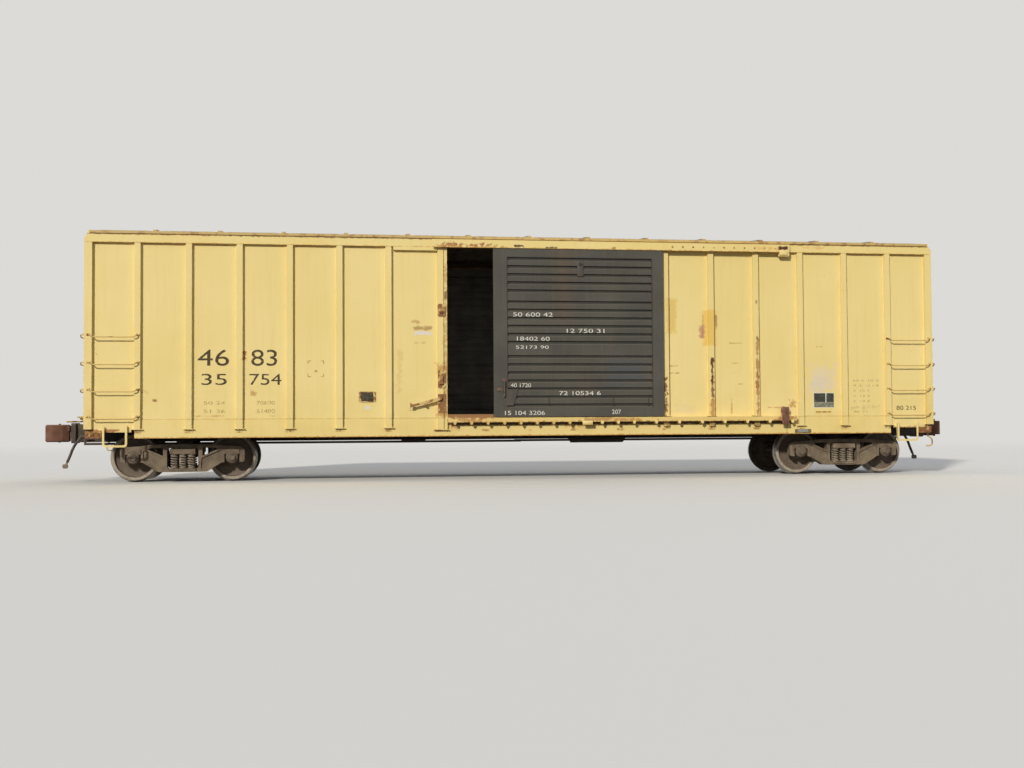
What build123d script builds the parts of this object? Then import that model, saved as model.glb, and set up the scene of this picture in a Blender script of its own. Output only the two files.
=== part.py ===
from build123d import *
import math
import os

os.makedirs("parts", exist_ok=True)

# Railroad boxcar, 50 feet, outside posts, sliding doors, two trucks.
# Millimetres. X runs along the car, Y across it, Z up. The near side is -Y.
# The origin is at the middle of the car, level with the bottom of the wheel flanges.

# Wheels, axles and trucks
FLANGE_HEIGHT = 25.4
TREAD_RADIUS = 419.1
FLANGE_RADIUS = TREAD_RADIUS + FLANGE_HEIGHT
AXLE_Z = FLANGE_RADIUS
WHEEL_BACK_Y = 676.0
RIM_WIDTH = 145.0
JOURNAL_Y = 997.0
BEARING_RADIUS = 110.0
WHEELBASE = 1727.2
TRUCK_X = 6250.0
BOWL_Z = 686.0
CENTRE_PLATE_RADIUS = 150.0

# Carbody, lengthwise
BODY_HALF_LENGTH = 7886.0
END_SHEET_IN_X = 7798.0
CORNER_POST_IN_X = 7753.0
OPENING_HALF = 1524.0
DOOR_POST_OUT_X = 1700.0
POST_FIRST_X = 2584.0
POST_PITCH = 880.0
POSTS_PER_PANEL = 6
SILL_STEP_X = 7035.0
STRIKER_X = 8330.0
PULLING_FACE_X = 8722.0
COUPLER_PIVOT_X = 7950.0

# Carbody, across
LINING_Y = 1448.0
SHEET_Y = 1480.0
SILL_Y = 1490.0
POST_Y = 1545.0
PLATE_Y = 1550.0
DOOR_IN_Y = 1556.0
DOOR_OUT_Y = 1612.0
TRACK_Y = 1628.0
TRACK_LIP = 10.0

# Heights
SILL_BOTTOM_Z = 792.0
SILL_END_BOTTOM_Z = 957.0
POST_BOTTOM_Z = 945.0
SEAM_Z = 1112.0
SHEET_BOTTOM_Z = 1060.0
CENTRE_SILL_Z = (722.0, 1055.0)
DECK_Z = (1132.0, 1189.0)
TRACK_Z = (1043.0, 1125.0)
FASCIA_BOTTOM_Z = 4240.0
FASCIA_DOOR_Z = 4176.0
HOOD_BOTTOM_Z = 4229.0
PLATE_TOP_Z = 4384.0
EAVE_Z = 4446.0
RIDGE_Z = 4600.0
COUPLER_Z = 887.0

# Door, as it stands partly open on the near side
DOOR_X = (-682.0, 2515.0)
DOOR_Z = (1139.0, 4252.0)
DOOR_REST_OFFSET = 916.5

HALF_TURN = 180

# Round pieces that repeat have flat sides, so that the whole car stays light
WHEEL_SIDES = 24
ROUND_SIDES = 12
BAR_SIDES = 6


def box(x, y, z):
    """A block between three (low, high) pairs."""
    pairs = (x, y, z)
    size = [high - low for low, high in pairs]
    centre = [(high + low) / 2 for low, high in pairs]
    return Pos(*centre) * Box(*size)


def prism_x(points, x):
    """An outline of (y, z) points drawn along X."""
    plane = Plane(origin=(x[0], 0, 0), x_dir=(0, 1, 0), z_dir=(1, 0, 0))
    return extrude(plane * make_face(Polyline(*points, close=True)), amount=x[1] - x[0])


def prism_y(points, y):
    """An outline of (x, z) points drawn along Y."""
    plane = Plane(origin=(0, y[1], 0), x_dir=(1, 0, 0), z_dir=(0, -1, 0))
    return extrude(plane * make_face(Polyline(*points, close=True)), amount=y[1] - y[0])


def prism_z(points, z):
    """An outline of (x, y) points drawn along Z."""
    return extrude(Pos(0, 0, z[0]) * make_face(Polyline(*points, close=True)), amount=z[1] - z[0])


def turned(profile, sides):
    """A closed outline of (height, radius) points turned about Z, with flat sides."""

    def corner(height, radius, side):
        angle = 2 * math.pi * side / sides
        return Vector(radius * math.cos(angle), radius * math.sin(angle), height)

    faces = []
    for side in range(sides):
        after = side + 1
        for start, end in zip(profile, profile[1:] + profile[:1]):
            ring = [corner(*start, side), corner(*end, side), corner(*end, after), corner(*start, after)]
            if start[1] == 0:
                ring.pop()
            if end[1] == 0:
                ring.pop(2)
            if len(ring) > 2:
                faces.append(Face(Wire.make_polygon(ring, close=True)))
    return Solid(Shell(faces))


def disc(radius, z):
    """A flat-sided round plate or plug between two heights."""
    return turned([(z[0], 0), (z[0], radius), (z[1], radius), (z[1], 0)], WHEEL_SIDES)


def across(shape):
    """A piece turned about Z, laid down so that its axis points along +Y."""
    return Rot(-90, 0, 0) * shape


def bar(points, radius, sides=BAR_SIDES):
    """A bar through the given points, with mitred corners."""
    first = Vector(*points[0])
    section = Plane(origin=first, z_dir=Vector(*points[1]) - first) * RegularPolygon(radius, sides)
    return sweep(section, path=Polyline(*points), transition=Transition.RIGHT)


def chamfered(shape, axis, size):
    """A block with the edges along one axis cut off."""
    return chamfer(shape.edges().filter_by(axis), size)


def other_side(shape):
    """The same piece on the other side of the car, which is alike after a half turn."""
    return shape.rotate(Axis.Z, HALF_TURN)


def both_sides(shape):
    return [shape, other_side(shape)]


def mirrored_y(shape):
    return shape.mirror(Plane.XZ)


def mirrored_x(shape):
    return shape.mirror(Plane.YZ)


def save(name, shapes):
    """Write one node: its shapes stay separate solids."""
    solids = []
    for shape in shapes:
        solids.extend(shape.solids())
    export_step(Compound(children=solids), f"parts/{name}.step")


# Centre sill: two webs with a top cover and outward feet, open below.
# A cast striker closes each end round the coupler's shank.
SILL_INSIDE = 163.5
SILL_WEB = 10.0
SILL_FOOT = 260.0
SILL_FLANGE = 14.0
SILL_HALF_LENGTH = STRIKER_X - 80
STRIKER_HALF_Y = 235.0
STRIKER_Z = (705.0, 1075.0)
STRIKER_CORNER = 30.0
SHANK_OPENING_HALF_Y = 140.0
SHANK_OPENING_Z = (784.0, 990.0)
CENTRE_FILLER = (240.0, 60.0)
PLATE_GAP = 2.0


def striker():
    """The one at the +X end."""
    half_y = SHANK_OPENING_HALF_Y
    plate = box((SILL_HALF_LENGTH, STRIKER_X), (-STRIKER_HALF_Y, STRIKER_HALF_Y), STRIKER_Z)
    plate = chamfered(plate, Axis.X, STRIKER_CORNER)
    return plate - box((SILL_HALF_LENGTH - 1, STRIKER_X + 1), (-half_y, half_y), SHANK_OPENING_Z)


def centre_sill():
    bottom, top = CENTRE_SILL_Z
    outside = SILL_INSIDE + SILL_WEB
    half = [
        (SILL_INSIDE, top - SILL_FLANGE),
        (SILL_INSIDE, bottom),
        (SILL_FOOT, bottom),
        (SILL_FOOT, bottom + SILL_FLANGE),
        (outside, bottom + SILL_FLANGE),
        (outside, top),
    ]
    outline = half + [(-y, z) for y, z in reversed(half)]
    sill = prism_x(outline, (-SILL_HALF_LENGTH, SILL_HALF_LENGTH))
    half_x, height = CENTRE_FILLER
    for x in (-TRUCK_X, TRUCK_X):
        # The centre filler closes the sill over each truck, and the centre plate hangs below it
        sill += box((x - half_x, x + half_x), (-SILL_INSIDE, SILL_INSIDE), (bottom, bottom + height))
        sill += Pos(x, 0, 0) * disc(CENTRE_PLATE_RADIUS, (BOWL_Z + PLATE_GAP, bottom))
    return sill + striker() + other_side(striker())


save("centre_sill", [centre_sill()])

# Draft gear: the cushion block inside each end of the sill, on its carrier plate
DRAFT_GEAR_X = (7060.0, 7700.0)
DRAFT_GEAR_Z = (752.0, 1010.0)
CARRIER_X = (7180.0, 7480.0)


def draft_gear():
    inside = (-SILL_INSIDE, SILL_INSIDE)
    carrier = box(CARRIER_X, inside, (CENTRE_SILL_Z[0], DRAFT_GEAR_Z[0]))
    return box(DRAFT_GEAR_X, inside, DRAFT_GEAR_Z) + carrier


save("draft_gears", both_sides(draft_gear()))

# Body bolsters: box beams from the centre sill out to the side sills, over the trucks
BOLSTER_HALF_X = 200.0
BOLSTER_LOWER_LINE = [(SILL_FOOT, 738.0), (700.0, 762.0), (1380.0, 880.0), (SHEET_Y, 880.0)]
BODY_BEARING_Y = (575.0, 695.0)
BODY_BEARING_Z = (706.0, 790.0)
BODY_BEARING_HALF_X = 150.0


def body_bolster_arm():
    """The arm on the +Y side at the +X end."""
    top = CENTRE_SILL_Z[1]
    web_y = SILL_INSIDE + SILL_WEB
    low = CENTRE_SILL_Z[0] + SILL_FLANGE
    outline = [(web_y, low), (SILL_FOOT, low)] + BOLSTER_LOWER_LINE[1:] + [(SHEET_Y, top), (web_y, top)]
    arm = prism_x(outline, (TRUCK_X - BOLSTER_HALF_X, TRUCK_X + BOLSTER_HALF_X))
    pad_x = (TRUCK_X - BODY_BEARING_HALF_X, TRUCK_X + BODY_BEARING_HALF_X)
    return arm + box(pad_x, BODY_BEARING_Y, BODY_BEARING_Z)


bolster_arm = body_bolster_arm()
save("body_bolsters", both_sides(bolster_arm) + both_sides(mirrored_y(bolster_arm)))

# Cross bearers: I beams between the trucks, deeper at the centre sill
CROSS_BEARER_X = [880.0, 2640.0, 4400.0]
BEARER_LOW_Z = (860.0, 960.0)
BEARER_FLANGE_HALF = 75.0
BEARER_THICK = 12.0


def cross_bearer_arm(x):
    inner = SILL_INSIDE + SILL_WEB
    top = CENTRE_SILL_Z[1]
    low_in, low_out = BEARER_LOW_Z
    web_outline = [(inner, low_in), (SHEET_Y, low_out), (SHEET_Y, top), (inner, top)]
    arm = prism_x(web_outline, (x - BEARER_THICK / 2, x + BEARER_THICK / 2))
    for z_in, z_out in ((low_in, low_out), (top - BEARER_THICK, top - BEARER_THICK)):
        flange = [
            (inner, z_in),
            (SHEET_Y, z_out),
            (SHEET_Y, z_out + BEARER_THICK),
            (inner, z_in + BEARER_THICK),
        ]
        arm += prism_x(flange, (x - BEARER_FLANGE_HALF, x + BEARER_FLANGE_HALF))
    return arm


bearers = []
for x in CROSS_BEARER_X:
    arm = cross_bearer_arm(x)
    bearers += both_sides(arm) + both_sides(mirrored_y(arm))
save("cross_bearers", bearers)

# Floor: long I beams under a wooden deck
STRINGER_Y = [135.0, 560.0, 1000.0]
STRINGER_HALF = 38.0
STRINGER_WEB_HALF = 4.0
STRINGER_FLANGE = 8.0


def stringer(y):
    low, high = CENTRE_SILL_Z[1], DECK_Z[0]
    length = (-END_SHEET_IN_X, END_SHEET_IN_X)
    flange_y = (y - STRINGER_HALF, y + STRINGER_HALF)
    beam = box(length, (y - STRINGER_WEB_HALF, y + STRINGER_WEB_HALF), (low, high))
    beam += box(length, flange_y, (low, low + STRINGER_FLANGE))
    beam += box(length, flange_y, (high - STRINGER_FLANGE, high))
    return beam


save("floor_stringers", [stringer(side * y) for y in STRINGER_Y for side in (-1, 1)])
save("floor_deck", [box((-END_SHEET_IN_X, END_SHEET_IN_X), (-LINING_Y, LINING_Y), DECK_Z)])

# Side sills: a deep plate along each side with a foot turned inwards, and a shallower plate from
# there to each corner, under which the sill step hangs
SILL_FOOT_Y = 1390.0
SILL_FOOT_THICK = 12.0
SILL_CORNER = 40.0
SILL_END_X = BODY_HALF_LENGTH - 6
POST_FOOT_THICK = 12.0
DOOR_POST_BOTTOM_Z = 917.0
DOOR_POST_FOOT_X = (-1767.0, -1493.0)


def side_sill():
    """The near one, with a cut corner at each end and the foot under the left door post."""
    high = SILL_END_BOTTOM_Z
    half = [
        (SILL_STEP_X, SEAM_Z),
        (SILL_STEP_X, high),
        (SILL_STEP_X + SILL_CORNER, high),
        (SILL_STEP_X, high - SILL_CORNER),
        (SILL_STEP_X, SILL_BOTTOM_Z),
    ]
    outline = half + [(-x, z) for x, z in reversed(half)]
    sill = prism_y(outline, (-SILL_Y, -SHEET_Y))
    foot_z = (SILL_BOTTOM_Z, SILL_BOTTOM_Z + SILL_FOOT_THICK)
    sill += box((-SILL_STEP_X, SILL_STEP_X), (-SHEET_Y, -SILL_FOOT_Y), foot_z)
    post_foot_z = (DOOR_POST_BOTTOM_Z - POST_FOOT_THICK, DOOR_POST_BOTTOM_Z)
    return sill + box(DOOR_POST_FOOT_X, (-POST_Y, -SILL_Y), post_foot_z)


def sill_end():
    """The shallower plate at the +X end of the near side."""
    return box((SILL_STEP_X, SILL_END_X), (-SILL_Y, -SHEET_Y), (SILL_END_BOTTOM_Z, SEAM_Z))


save("side_sills", both_sides(side_sill()))
save("sill_ends", both_sides(sill_end()) + both_sides(mirrored_x(sill_end())))

# Side walls: one sheet and lining from door post to corner post, with pressed hat posts outside.
# Each profile is half or all of a section, as (along, depth out from the sheet) points.
HAT_PROFILE = [(-85, 0), (-85, 7), (-59, 7), (-51, 65), (51, 65), (59, 7), (85, 7), (85, 0)]
DOOR_POST_PROFILE = [(0, 0), (0, 65), (48, 65), (53, 38), (64, 38), (69, 65), (168, 65), (176, 0)]
POST_FACE_HALF = 51.0
POST_FOOT_HALF = 90.0
TRACK_END_X = 5094.0
HOOD_X = (-1800.0, 4990.0)
POST_OVER_TRACK_Z = TRACK_Z[1] + 12


def post_x(index):
    return POST_FIRST_X + index * POST_PITCH


def hat_post(x, low, high):
    outline = [(x + along, -SHEET_Y - depth) for along, depth in HAT_PROFILE]
    post = prism_z(outline, (low, high))
    foot_x = (x - POST_FOOT_HALF, x + POST_FOOT_HALF)
    return post + box(foot_x, (-POST_Y, -SHEET_Y), (low, low + POST_FOOT_THICK))


def door_post(side):
    """The post that frames the opening; the left one reaches down over the sill."""
    low = POST_OVER_TRACK_Z if side > 0 else DOOR_POST_BOTTOM_Z
    outline = [(side * (OPENING_HALF + along), -SHEET_Y - depth) for along, depth in DOOR_POST_PROFILE]
    return prism_z(outline, (low, FASCIA_BOTTOM_Z))


def side_wall(side):
    """The near wall left (side -1) or right (side 1) of the door opening."""
    span = sorted((side * OPENING_HALF, side * CORNER_POST_IN_X))
    wall = box(span, (-SHEET_Y, -LINING_Y), (SHEET_BOTTOM_Z, FASCIA_BOTTOM_Z))
    for index in range(POSTS_PER_PANEL):
        x = side * post_x(index)
        over_track = 0 < x < TRACK_END_X
        wall += hat_post(x, POST_OVER_TRACK_Z if over_track else POST_BOTTOM_Z, FASCIA_BOTTOM_Z)
    wall += door_post(side)
    # The sill plate laps over the sheet and lies behind the posts
    wall -= box((-BODY_HALF_LENGTH, BODY_HALF_LENGTH), (-SILL_Y, -SHEET_Y), (0, SEAM_Z))
    return wall


wall_left = side_wall(-1)
wall_right = side_wall(1)
save("side_wall_near_left", [wall_left])
save("side_wall_near_right", [wall_right])
save("side_wall_far_left", [other_side(wall_right)])
save("side_wall_far_right", [other_side(wall_left)])

# Side plates: the deep top member of each side, deeper beside the door, with its ends cut off aslant
PLATE_END_X = BODY_HALF_LENGTH - 40
PLATE_SLANT = [(PLATE_END_X, 4366.0), (7832.0, PLATE_TOP_Z)]
DEEPER_STRIP_X = (-2499.0, -DOOR_POST_OUT_X)


def side_plate():
    half = [(PLATE_END_X, FASCIA_BOTTOM_Z)] + PLATE_SLANT
    outline = half + [(-x, z) for x, z in reversed(half)]
    plate = prism_y(outline, (-PLATE_Y, -LINING_Y))
    return plate + box(DEEPER_STRIP_X, (-PLATE_Y, -SHEET_Y), (FASCIA_DOOR_Z, FASCIA_BOTTOM_Z))


save("side_plates", both_sides(side_plate()))

# Door tracks: a hood over the top of the door, and below it a ledge on brackets with the threshold.
# A stop on the ledge and one under the hood's end hold the door at the end of its run.
HOOD_TOP_Z = PLATE_TOP_Z - 10
HOOD_THICK = 12.0
DOORWAY_BRACKETS = 12
DOORWAY_BRACKET_X = -1396.0
DOORWAY_BRACKET_PITCH = 303.4
POST_BRACKET_REACH = 220.0
LAST_BRACKET_X = 5010.0
BRACKET_HALF = 28.0
BRACKET_DROP = 60.0
POSTS_OVER_TRACK = 3
POST_STUB_Z = 949.0
STOP_X = (4802.0, 4990.0)
STOP_TOP_Z = 1309.0
HOOD_STOP_X = (4789.0, 4987.0)
HOOD_STOP_Z = 4155.0


def upper_track():
    lip = box(HOOD_X, (-TRACK_Y, -TRACK_Y + TRACK_LIP), (HOOD_BOTTOM_Z, HOOD_TOP_Z))
    top = box(HOOD_X, (-TRACK_Y, -PLATE_Y), (HOOD_TOP_Z - HOOD_THICK, HOOD_TOP_Z))
    stop = box(HOOD_STOP_X, (-TRACK_Y + TRACK_LIP, -PLATE_Y), (HOOD_STOP_Z, HOOD_TOP_Z - HOOD_THICK))
    return lip + top + stop


def bracket_places():
    places = [DOORWAY_BRACKET_X + DOORWAY_BRACKET_PITCH * index for index in range(DOORWAY_BRACKETS)]
    for index in range(POSTS_OVER_TRACK):
        places += [post_x(index) - POST_BRACKET_REACH, post_x(index) + POST_BRACKET_REACH]
    return places + [LAST_BRACKET_X]


def lower_track():
    low, high = TRACK_Z
    under = high - HOOD_THICK
    lip_in = -TRACK_Y + TRACK_LIP
    ledge = box((-OPENING_HALF, TRACK_END_X), (-TRACK_Y, -SILL_Y), (under, high))
    ledge += box((-OPENING_HALF, TRACK_END_X), (-TRACK_Y, lip_in), (low, high))
    gusset = [(lip_in, under), (lip_in, low), (-SILL_Y, low - BRACKET_DROP), (-SILL_Y, under)]
    for x in bracket_places():
        ledge += prism_x(gusset, (x - BRACKET_HALF, x + BRACKET_HALF))
    for index in range(POSTS_OVER_TRACK):
        # The foot of a wall post comes out below the ledge
        stub_x = (post_x(index) - POST_FACE_HALF, post_x(index) + POST_FACE_HALF)
        ledge += box(stub_x, (-POST_Y, -SILL_Y), (POST_STUB_Z, under))
    return ledge + box((-OPENING_HALF, OPENING_HALF), (-POST_Y, -LINING_Y), (high, DECK_Z[1]))


def door_stop():
    """The wedge that stands on the ledge."""
    low, (start, end) = TRACK_Z[1], STOP_X
    outline = [(start, low), (end, low), (start + 50, STOP_TOP_Z), (start, STOP_TOP_Z)]
    return prism_y(outline, (-DOOR_OUT_Y, -DOOR_IN_Y))


save("upper_door_tracks", both_sides(upper_track()))
save("lower_door_tracks", both_sides(lower_track()))

# Door locks on the left door post: two keepers, and a bracket with the long locking lever. The
# stops at the end of the door's run are with them.
# Plates stay behind the door's plane, and what stands out stays clear of the shut door's edge.
LOCK_PLATE_Y = (-POST_Y - 5, -POST_Y)
LOCK_CLEAR_X = -1606.0
# Each keeper: plate x, plate z, staple x, staple z, staple depth
KEEPERS = [
    ((-1698, -1542), (2965, 3203), (-1690, LOCK_CLEAR_X), (3036, 3132), 34),
    ((-1698, -1546), (1660, 1996), (-1694, LOCK_CLEAR_X), (1736, 1920), 40),
]
LEVER_PLATE = ((-1698, -1550), (1215, 1560))
LEVER_OUTLINE = [
    (-1640, 1508),
    (-1618, 1478),
    (-1640, 1448),
    (-2160, 1330),
    (-2200, 1308),
    (-2206, 1407),
    (-2150, 1372),
]
LEVER_Y = (-POST_Y - 45, -POST_Y - 25)
LEVER_BOSS = ((-1690, -1630), (1448, 1508))
LEVER_REST = ((-1945, -1915), (1340, 1392))


def keeper(plate_x, plate_z, staple_x, staple_z, depth):
    plate = chamfered(box(plate_x, LOCK_PLATE_Y, plate_z), Axis.Y, 24)
    staple = chamfered(box(staple_x, (-POST_Y - depth, -POST_Y), staple_z), Axis.Y, 18)
    return plate + staple


def locking_lever():
    plate_x, plate_z = LEVER_PLATE
    boss_x, boss_z = LEVER_BOSS
    rest_x, rest_z = LEVER_REST
    lever = box(plate_x, LOCK_PLATE_Y, plate_z) + prism_y(LEVER_OUTLINE, LEVER_Y)
    lever += box(boss_x, (LEVER_Y[0] - 8, -POST_Y), boss_z)
    return lever + box(rest_x, (LEVER_Y[0], -SHEET_Y), rest_z)


locks = []
for lock in [keeper(*row) for row in KEEPERS] + [locking_lever(), door_stop()]:
    locks += both_sides(lock)
save("door_locks", locks)

# Ends: one corrugated sheet and lining between two corner posts. Each corrugation is a long
# pressed rib that tapers away at both ends, and the gable closes the end of the roof.
END_SHEET_OUT_X = END_SHEET_IN_X + 32
RIB_FIRST_Z = 1190.0
RIB_PITCH = 290.0
RIBS = 11
RIB_BASE = (2800.0, 220.0)
RIB_CREST = (2300.0, 90.0)
RIB_DEPTH = 50.0
EAVE_Y = 1562.0
EAVE_ROLL = 20.0
GABLE_Y = EAVE_Y - EAVE_ROLL
CORNER_HEAD_Z = 4315.0


def end_rib(z):
    base = Plane(origin=(END_SHEET_OUT_X, 0, z), x_dir=(0, 1, 0), z_dir=(1, 0, 0))
    return loft([base * Rectangle(*RIB_BASE), base.offset(RIB_DEPTH) * Rectangle(*RIB_CREST)])


def corner_post(side):
    """One corner of the +X end, from the end sill up to the slanted end of the side plate."""
    low = SILL_END_BOTTOM_Z
    foot_y = sorted((side * LINING_Y, side * POST_Y))
    head_y = sorted((side * LINING_Y, side * PLATE_Y))
    head = [
        (PLATE_END_X, FASCIA_BOTTOM_Z),
        (BODY_HALF_LENGTH, FASCIA_BOTTOM_Z),
        (BODY_HALF_LENGTH, CORNER_HEAD_Z),
        PLATE_SLANT[0],
    ]
    post = box((CORNER_POST_IN_X, BODY_HALF_LENGTH), foot_y, (low, FASCIA_BOTTOM_Z))
    post += prism_y(head, head_y)
    # The side sill's end is let into the post
    sill_y = sorted((side * SHEET_Y, side * SILL_Y))
    return post - box((CORNER_POST_IN_X, SILL_END_X), sill_y, (low, SEAM_Z))


def end_wall():
    """The one at the +X end."""
    low = SILL_END_BOTTOM_Z
    half = [(LINING_Y, low), (LINING_Y, PLATE_TOP_Z), (GABLE_Y, PLATE_TOP_Z), (GABLE_Y, EAVE_Z)]
    outline = half + [(0, RIDGE_Z)] + [(-y, z) for y, z in reversed(half)]
    wall = prism_x(outline, (END_SHEET_IN_X, END_SHEET_OUT_X))
    sill_y = SILL_INSIDE + SILL_WEB
    wall -= box((END_SHEET_IN_X, END_SHEET_OUT_X), (-sill_y, sill_y), (low, CENTRE_SILL_Z[1]))
    for index in range(RIBS):
        wall += end_rib(RIB_FIRST_Z + RIB_PITCH * index)
    return wall + corner_post(-1) + corner_post(1)


wall_end = end_wall()
save("end_wall_right", [wall_end])
save("end_wall_left", [other_side(wall_end)])

# End sills: the beams under the ends, each side of the centre sill
END_SILL_X = (7780.0, 7872.0)
END_SILL_Z = (870.0, SILL_END_BOTTOM_Z)
end_sill = box(END_SILL_X, (SILL_FOOT, SHEET_Y), END_SILL_Z)
save("end_sills", both_sides(end_sill) + both_sides(mirrored_y(end_sill)))

# Roof: a low gable of pressed panels, with a raised field on each panel and a cap over each seam
ROOF_DEPTH = 70.0
EAVE_LIP_Z = PLATE_TOP_Z + 14
EAVE_DROP = 12.0
ROOF_BAYS = 14
BAY_PITCH = 2 * END_SHEET_IN_X / ROOF_BAYS
SEAM_HALF = 32.0
SEAM_HEIGHT = 26.0
FIELD_WIDTH = 1260.0
FIELD_MARGIN = 170.0
FIELD_TAPER = 90.0
FIELD_HEIGHT = 14.0


def roof_line(raise_by):
    """The top of the roof, as (y, z) points from eave to eave."""
    half = [(EAVE_Y, EAVE_Z - EAVE_DROP + raise_by), (GABLE_Y, EAVE_Z + raise_by)]
    return [(-y, z) for y, z in half] + [(0, RIDGE_Z + raise_by)] + list(reversed(half))


def roof_field(x, side):
    """The raised field of one panel, on the slope of the roof."""
    run, rise = GABLE_Y, RIDGE_Z - EAVE_Z
    middle = (x, side * run / 2, RIDGE_Z - rise / 2)
    slope = Plane(origin=middle, x_dir=(1, 0, 0), z_dir=(0, side * rise, run))
    length = BAY_PITCH - FIELD_MARGIN
    base = slope * Rectangle(length, FIELD_WIDTH)
    crest = slope.offset(FIELD_HEIGHT) * Rectangle(length - FIELD_TAPER, FIELD_WIDTH - FIELD_TAPER)
    return loft([base, crest])


def roof():
    half = [(EAVE_Y, EAVE_LIP_Z), (GABLE_Y, EAVE_LIP_Z), (GABLE_Y, PLATE_TOP_Z), (LINING_Y, PLATE_TOP_Z)]
    under = half + [(0, RIDGE_Z - ROOF_DEPTH)] + [(-y, z) for y, z in reversed(half)]
    shell = prism_x(roof_line(0) + under, (-END_SHEET_IN_X, END_SHEET_IN_X))
    cap = roof_line(SEAM_HEIGHT) + list(reversed(roof_line(-2)))
    for index in range(ROOF_BAYS):
        start = -END_SHEET_IN_X + BAY_PITCH * index
        for side in (-1, 1):
            shell += roof_field(start + BAY_PITCH / 2, side)
        if index > 0:
            shell += prism_x(cap, (start - SEAM_HALF, start + SEAM_HALF))
    return shell


save("roof", [roof()])

# Doors: a frame round a corrugated panel of one thickness, on rollers between the ledge and the hood
STILE = (250.0, 205.0)
TOP_RAIL = 176.0
BOTTOM_RAIL = 165.0
PANEL_OUT_Y = DOOR_OUT_Y - 4
PANEL_THICK = 8.0
GROOVE_DEPTH = 30.0
GROOVE_HALF_OUT = 32.0
GROOVE_HALF_IN = 14.0
GROOVE_PITCH = 148.0
# Groups of grooves from the top down: height of the first groove, number of grooves
GROOVE_GROUPS = [(4035.0, 5), (3237.0, 6), (2234.0, 7)]
ROLLER_RADIUS = 42.0
ROLLER_WIDTH = 30.0
ROLLER_INSET = 380.0
ROLLER_LOW_Z = 1130.0


def door_field():
    field_x = (DOOR_X[0] + STILE[0], DOOR_X[1] - STILE[1])
    return field_x, (DOOR_Z[0] + BOTTOM_RAIL, DOOR_Z[1] - TOP_RAIL)


def door_frame():
    field_x, field_z = door_field()
    frame = box(DOOR_X, (-DOOR_OUT_Y, -DOOR_IN_Y), DOOR_Z)
    frame -= box(field_x, (-DOOR_OUT_Y - 1, -DOOR_IN_Y + 1), field_z)
    roller = across(disc(ROLLER_RADIUS, (-ROLLER_WIDTH / 2, ROLLER_WIDTH / 2)))
    for x in (DOOR_X[0] + ROLLER_INSET, DOOR_X[1] - ROLLER_INSET):
        frame += Pos(x, -(DOOR_IN_Y + DOOR_OUT_Y) / 2, ROLLER_LOW_Z + ROLLER_RADIUS) * roller
    return frame


def groove_heights():
    heights = []
    for first, count in GROOVE_GROUPS:
        heights += [first - GROOVE_PITCH * index for index in range(count)]
    return sorted(heights)


def door_panel():
    field_x, (low, high) = door_field()
    face = [(PANEL_OUT_Y, low)]
    for z in groove_heights():
        face += [
            (PANEL_OUT_Y, z - GROOVE_HALF_OUT),
            (PANEL_OUT_Y - GROOVE_DEPTH, z - GROOVE_HALF_IN),
            (PANEL_OUT_Y - GROOVE_DEPTH, z + GROOVE_HALF_IN),
            (PANEL_OUT_Y, z + GROOVE_HALF_OUT),
        ]
    face.append((PANEL_OUT_Y, high))
    back = [(y - PANEL_THICK, z) for y, z in reversed(face)]
    return prism_x([(-y, z) for y, z in face + back], field_x)


def closed(shape):
    """A door shape moved from where the near door stands to the closed place."""
    return Pos(-DOOR_REST_OFFSET, 0, 0) * shape


frame_near = door_frame()
panel_near = door_panel()
save("door_frame_near", [frame_near])
save("door_panel_near", [panel_near])
save("door_frame_far", [other_side(closed(frame_near))])
save("door_panel_far", [other_side(closed(panel_near))])

# Grab irons: drop handholds beside each corner, on the sides and on the ends
GRAB_RADIUS = 11.0
GRAB_Z = [1135.0, 1611.0, 2086.0, 2569.0]
GRAB_DROP = 42.0
GRAB_SLOPE = 45.0
GRAB_REACH = 62.0
SIDE_GRAB_X = (6985.0, 7795.0)
END_GRAB_Y = (940.0, 1500.0)


def grab_line(z, span, face):
    """From foot to foot, as (along, out from the car's middle, height) points."""
    low, high = span
    out = face + GRAB_REACH
    half = [(low, face, z + GRAB_DROP), (low, out, z + GRAB_DROP), (low + GRAB_SLOPE, out, z)]
    return half + [(low + high - along, reach, height) for along, reach, height in reversed(half)]


side_grabs = []
end_grabs = []
for z in GRAB_Z:
    line = grab_line(z, SIDE_GRAB_X, POST_Y)
    at_side = bar([(along, -out, height) for along, out, height in line], GRAB_RADIUS)
    side_grabs += both_sides(at_side) + both_sides(mirrored_x(at_side))
    line = grab_line(z, END_GRAB_Y, BODY_HALF_LENGTH)
    at_end = bar([(out, along, height) for along, out, height in line], GRAB_RADIUS)
    end_grabs += both_sides(at_end) + both_sides(mirrored_y(at_end))
save("side_grab_irons", side_grabs)
save("end_grab_irons", end_grabs)

# Sill steps: bent straps below the side sills at the four corners
STEP_X = (7150.0, 7572.0)
STEP_Z = (640.0, 1010.0)
STEP_CORNER = 45.0
STRAP_THICK = 12.0
STRAP_WIDTH = 50.0


def strap_outline(inset):
    """The U of the strap, from one top end round to the other, moved inwards by a distance."""
    start, end = STEP_X[0] + inset, STEP_X[1] - inset
    low, high = STEP_Z[0] + inset, STEP_Z[1]
    corner = STEP_CORNER - inset / 2
    return [
        (start, high),
        (start, low + corner),
        (start + corner, low),
        (end - corner, low),
        (end, low + corner),
        (end, high),
    ]


def sill_step(side):
    outline = strap_outline(0) + list(reversed(strap_outline(STRAP_THICK)))
    return prism_y([(side * x, z) for x, z in outline], (-SILL_Y - STRAP_WIDTH, -SILL_Y))


steps = []
for side in (-1, 1):
    steps += both_sides(sill_step(side))
save("sill_steps", steps)

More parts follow.
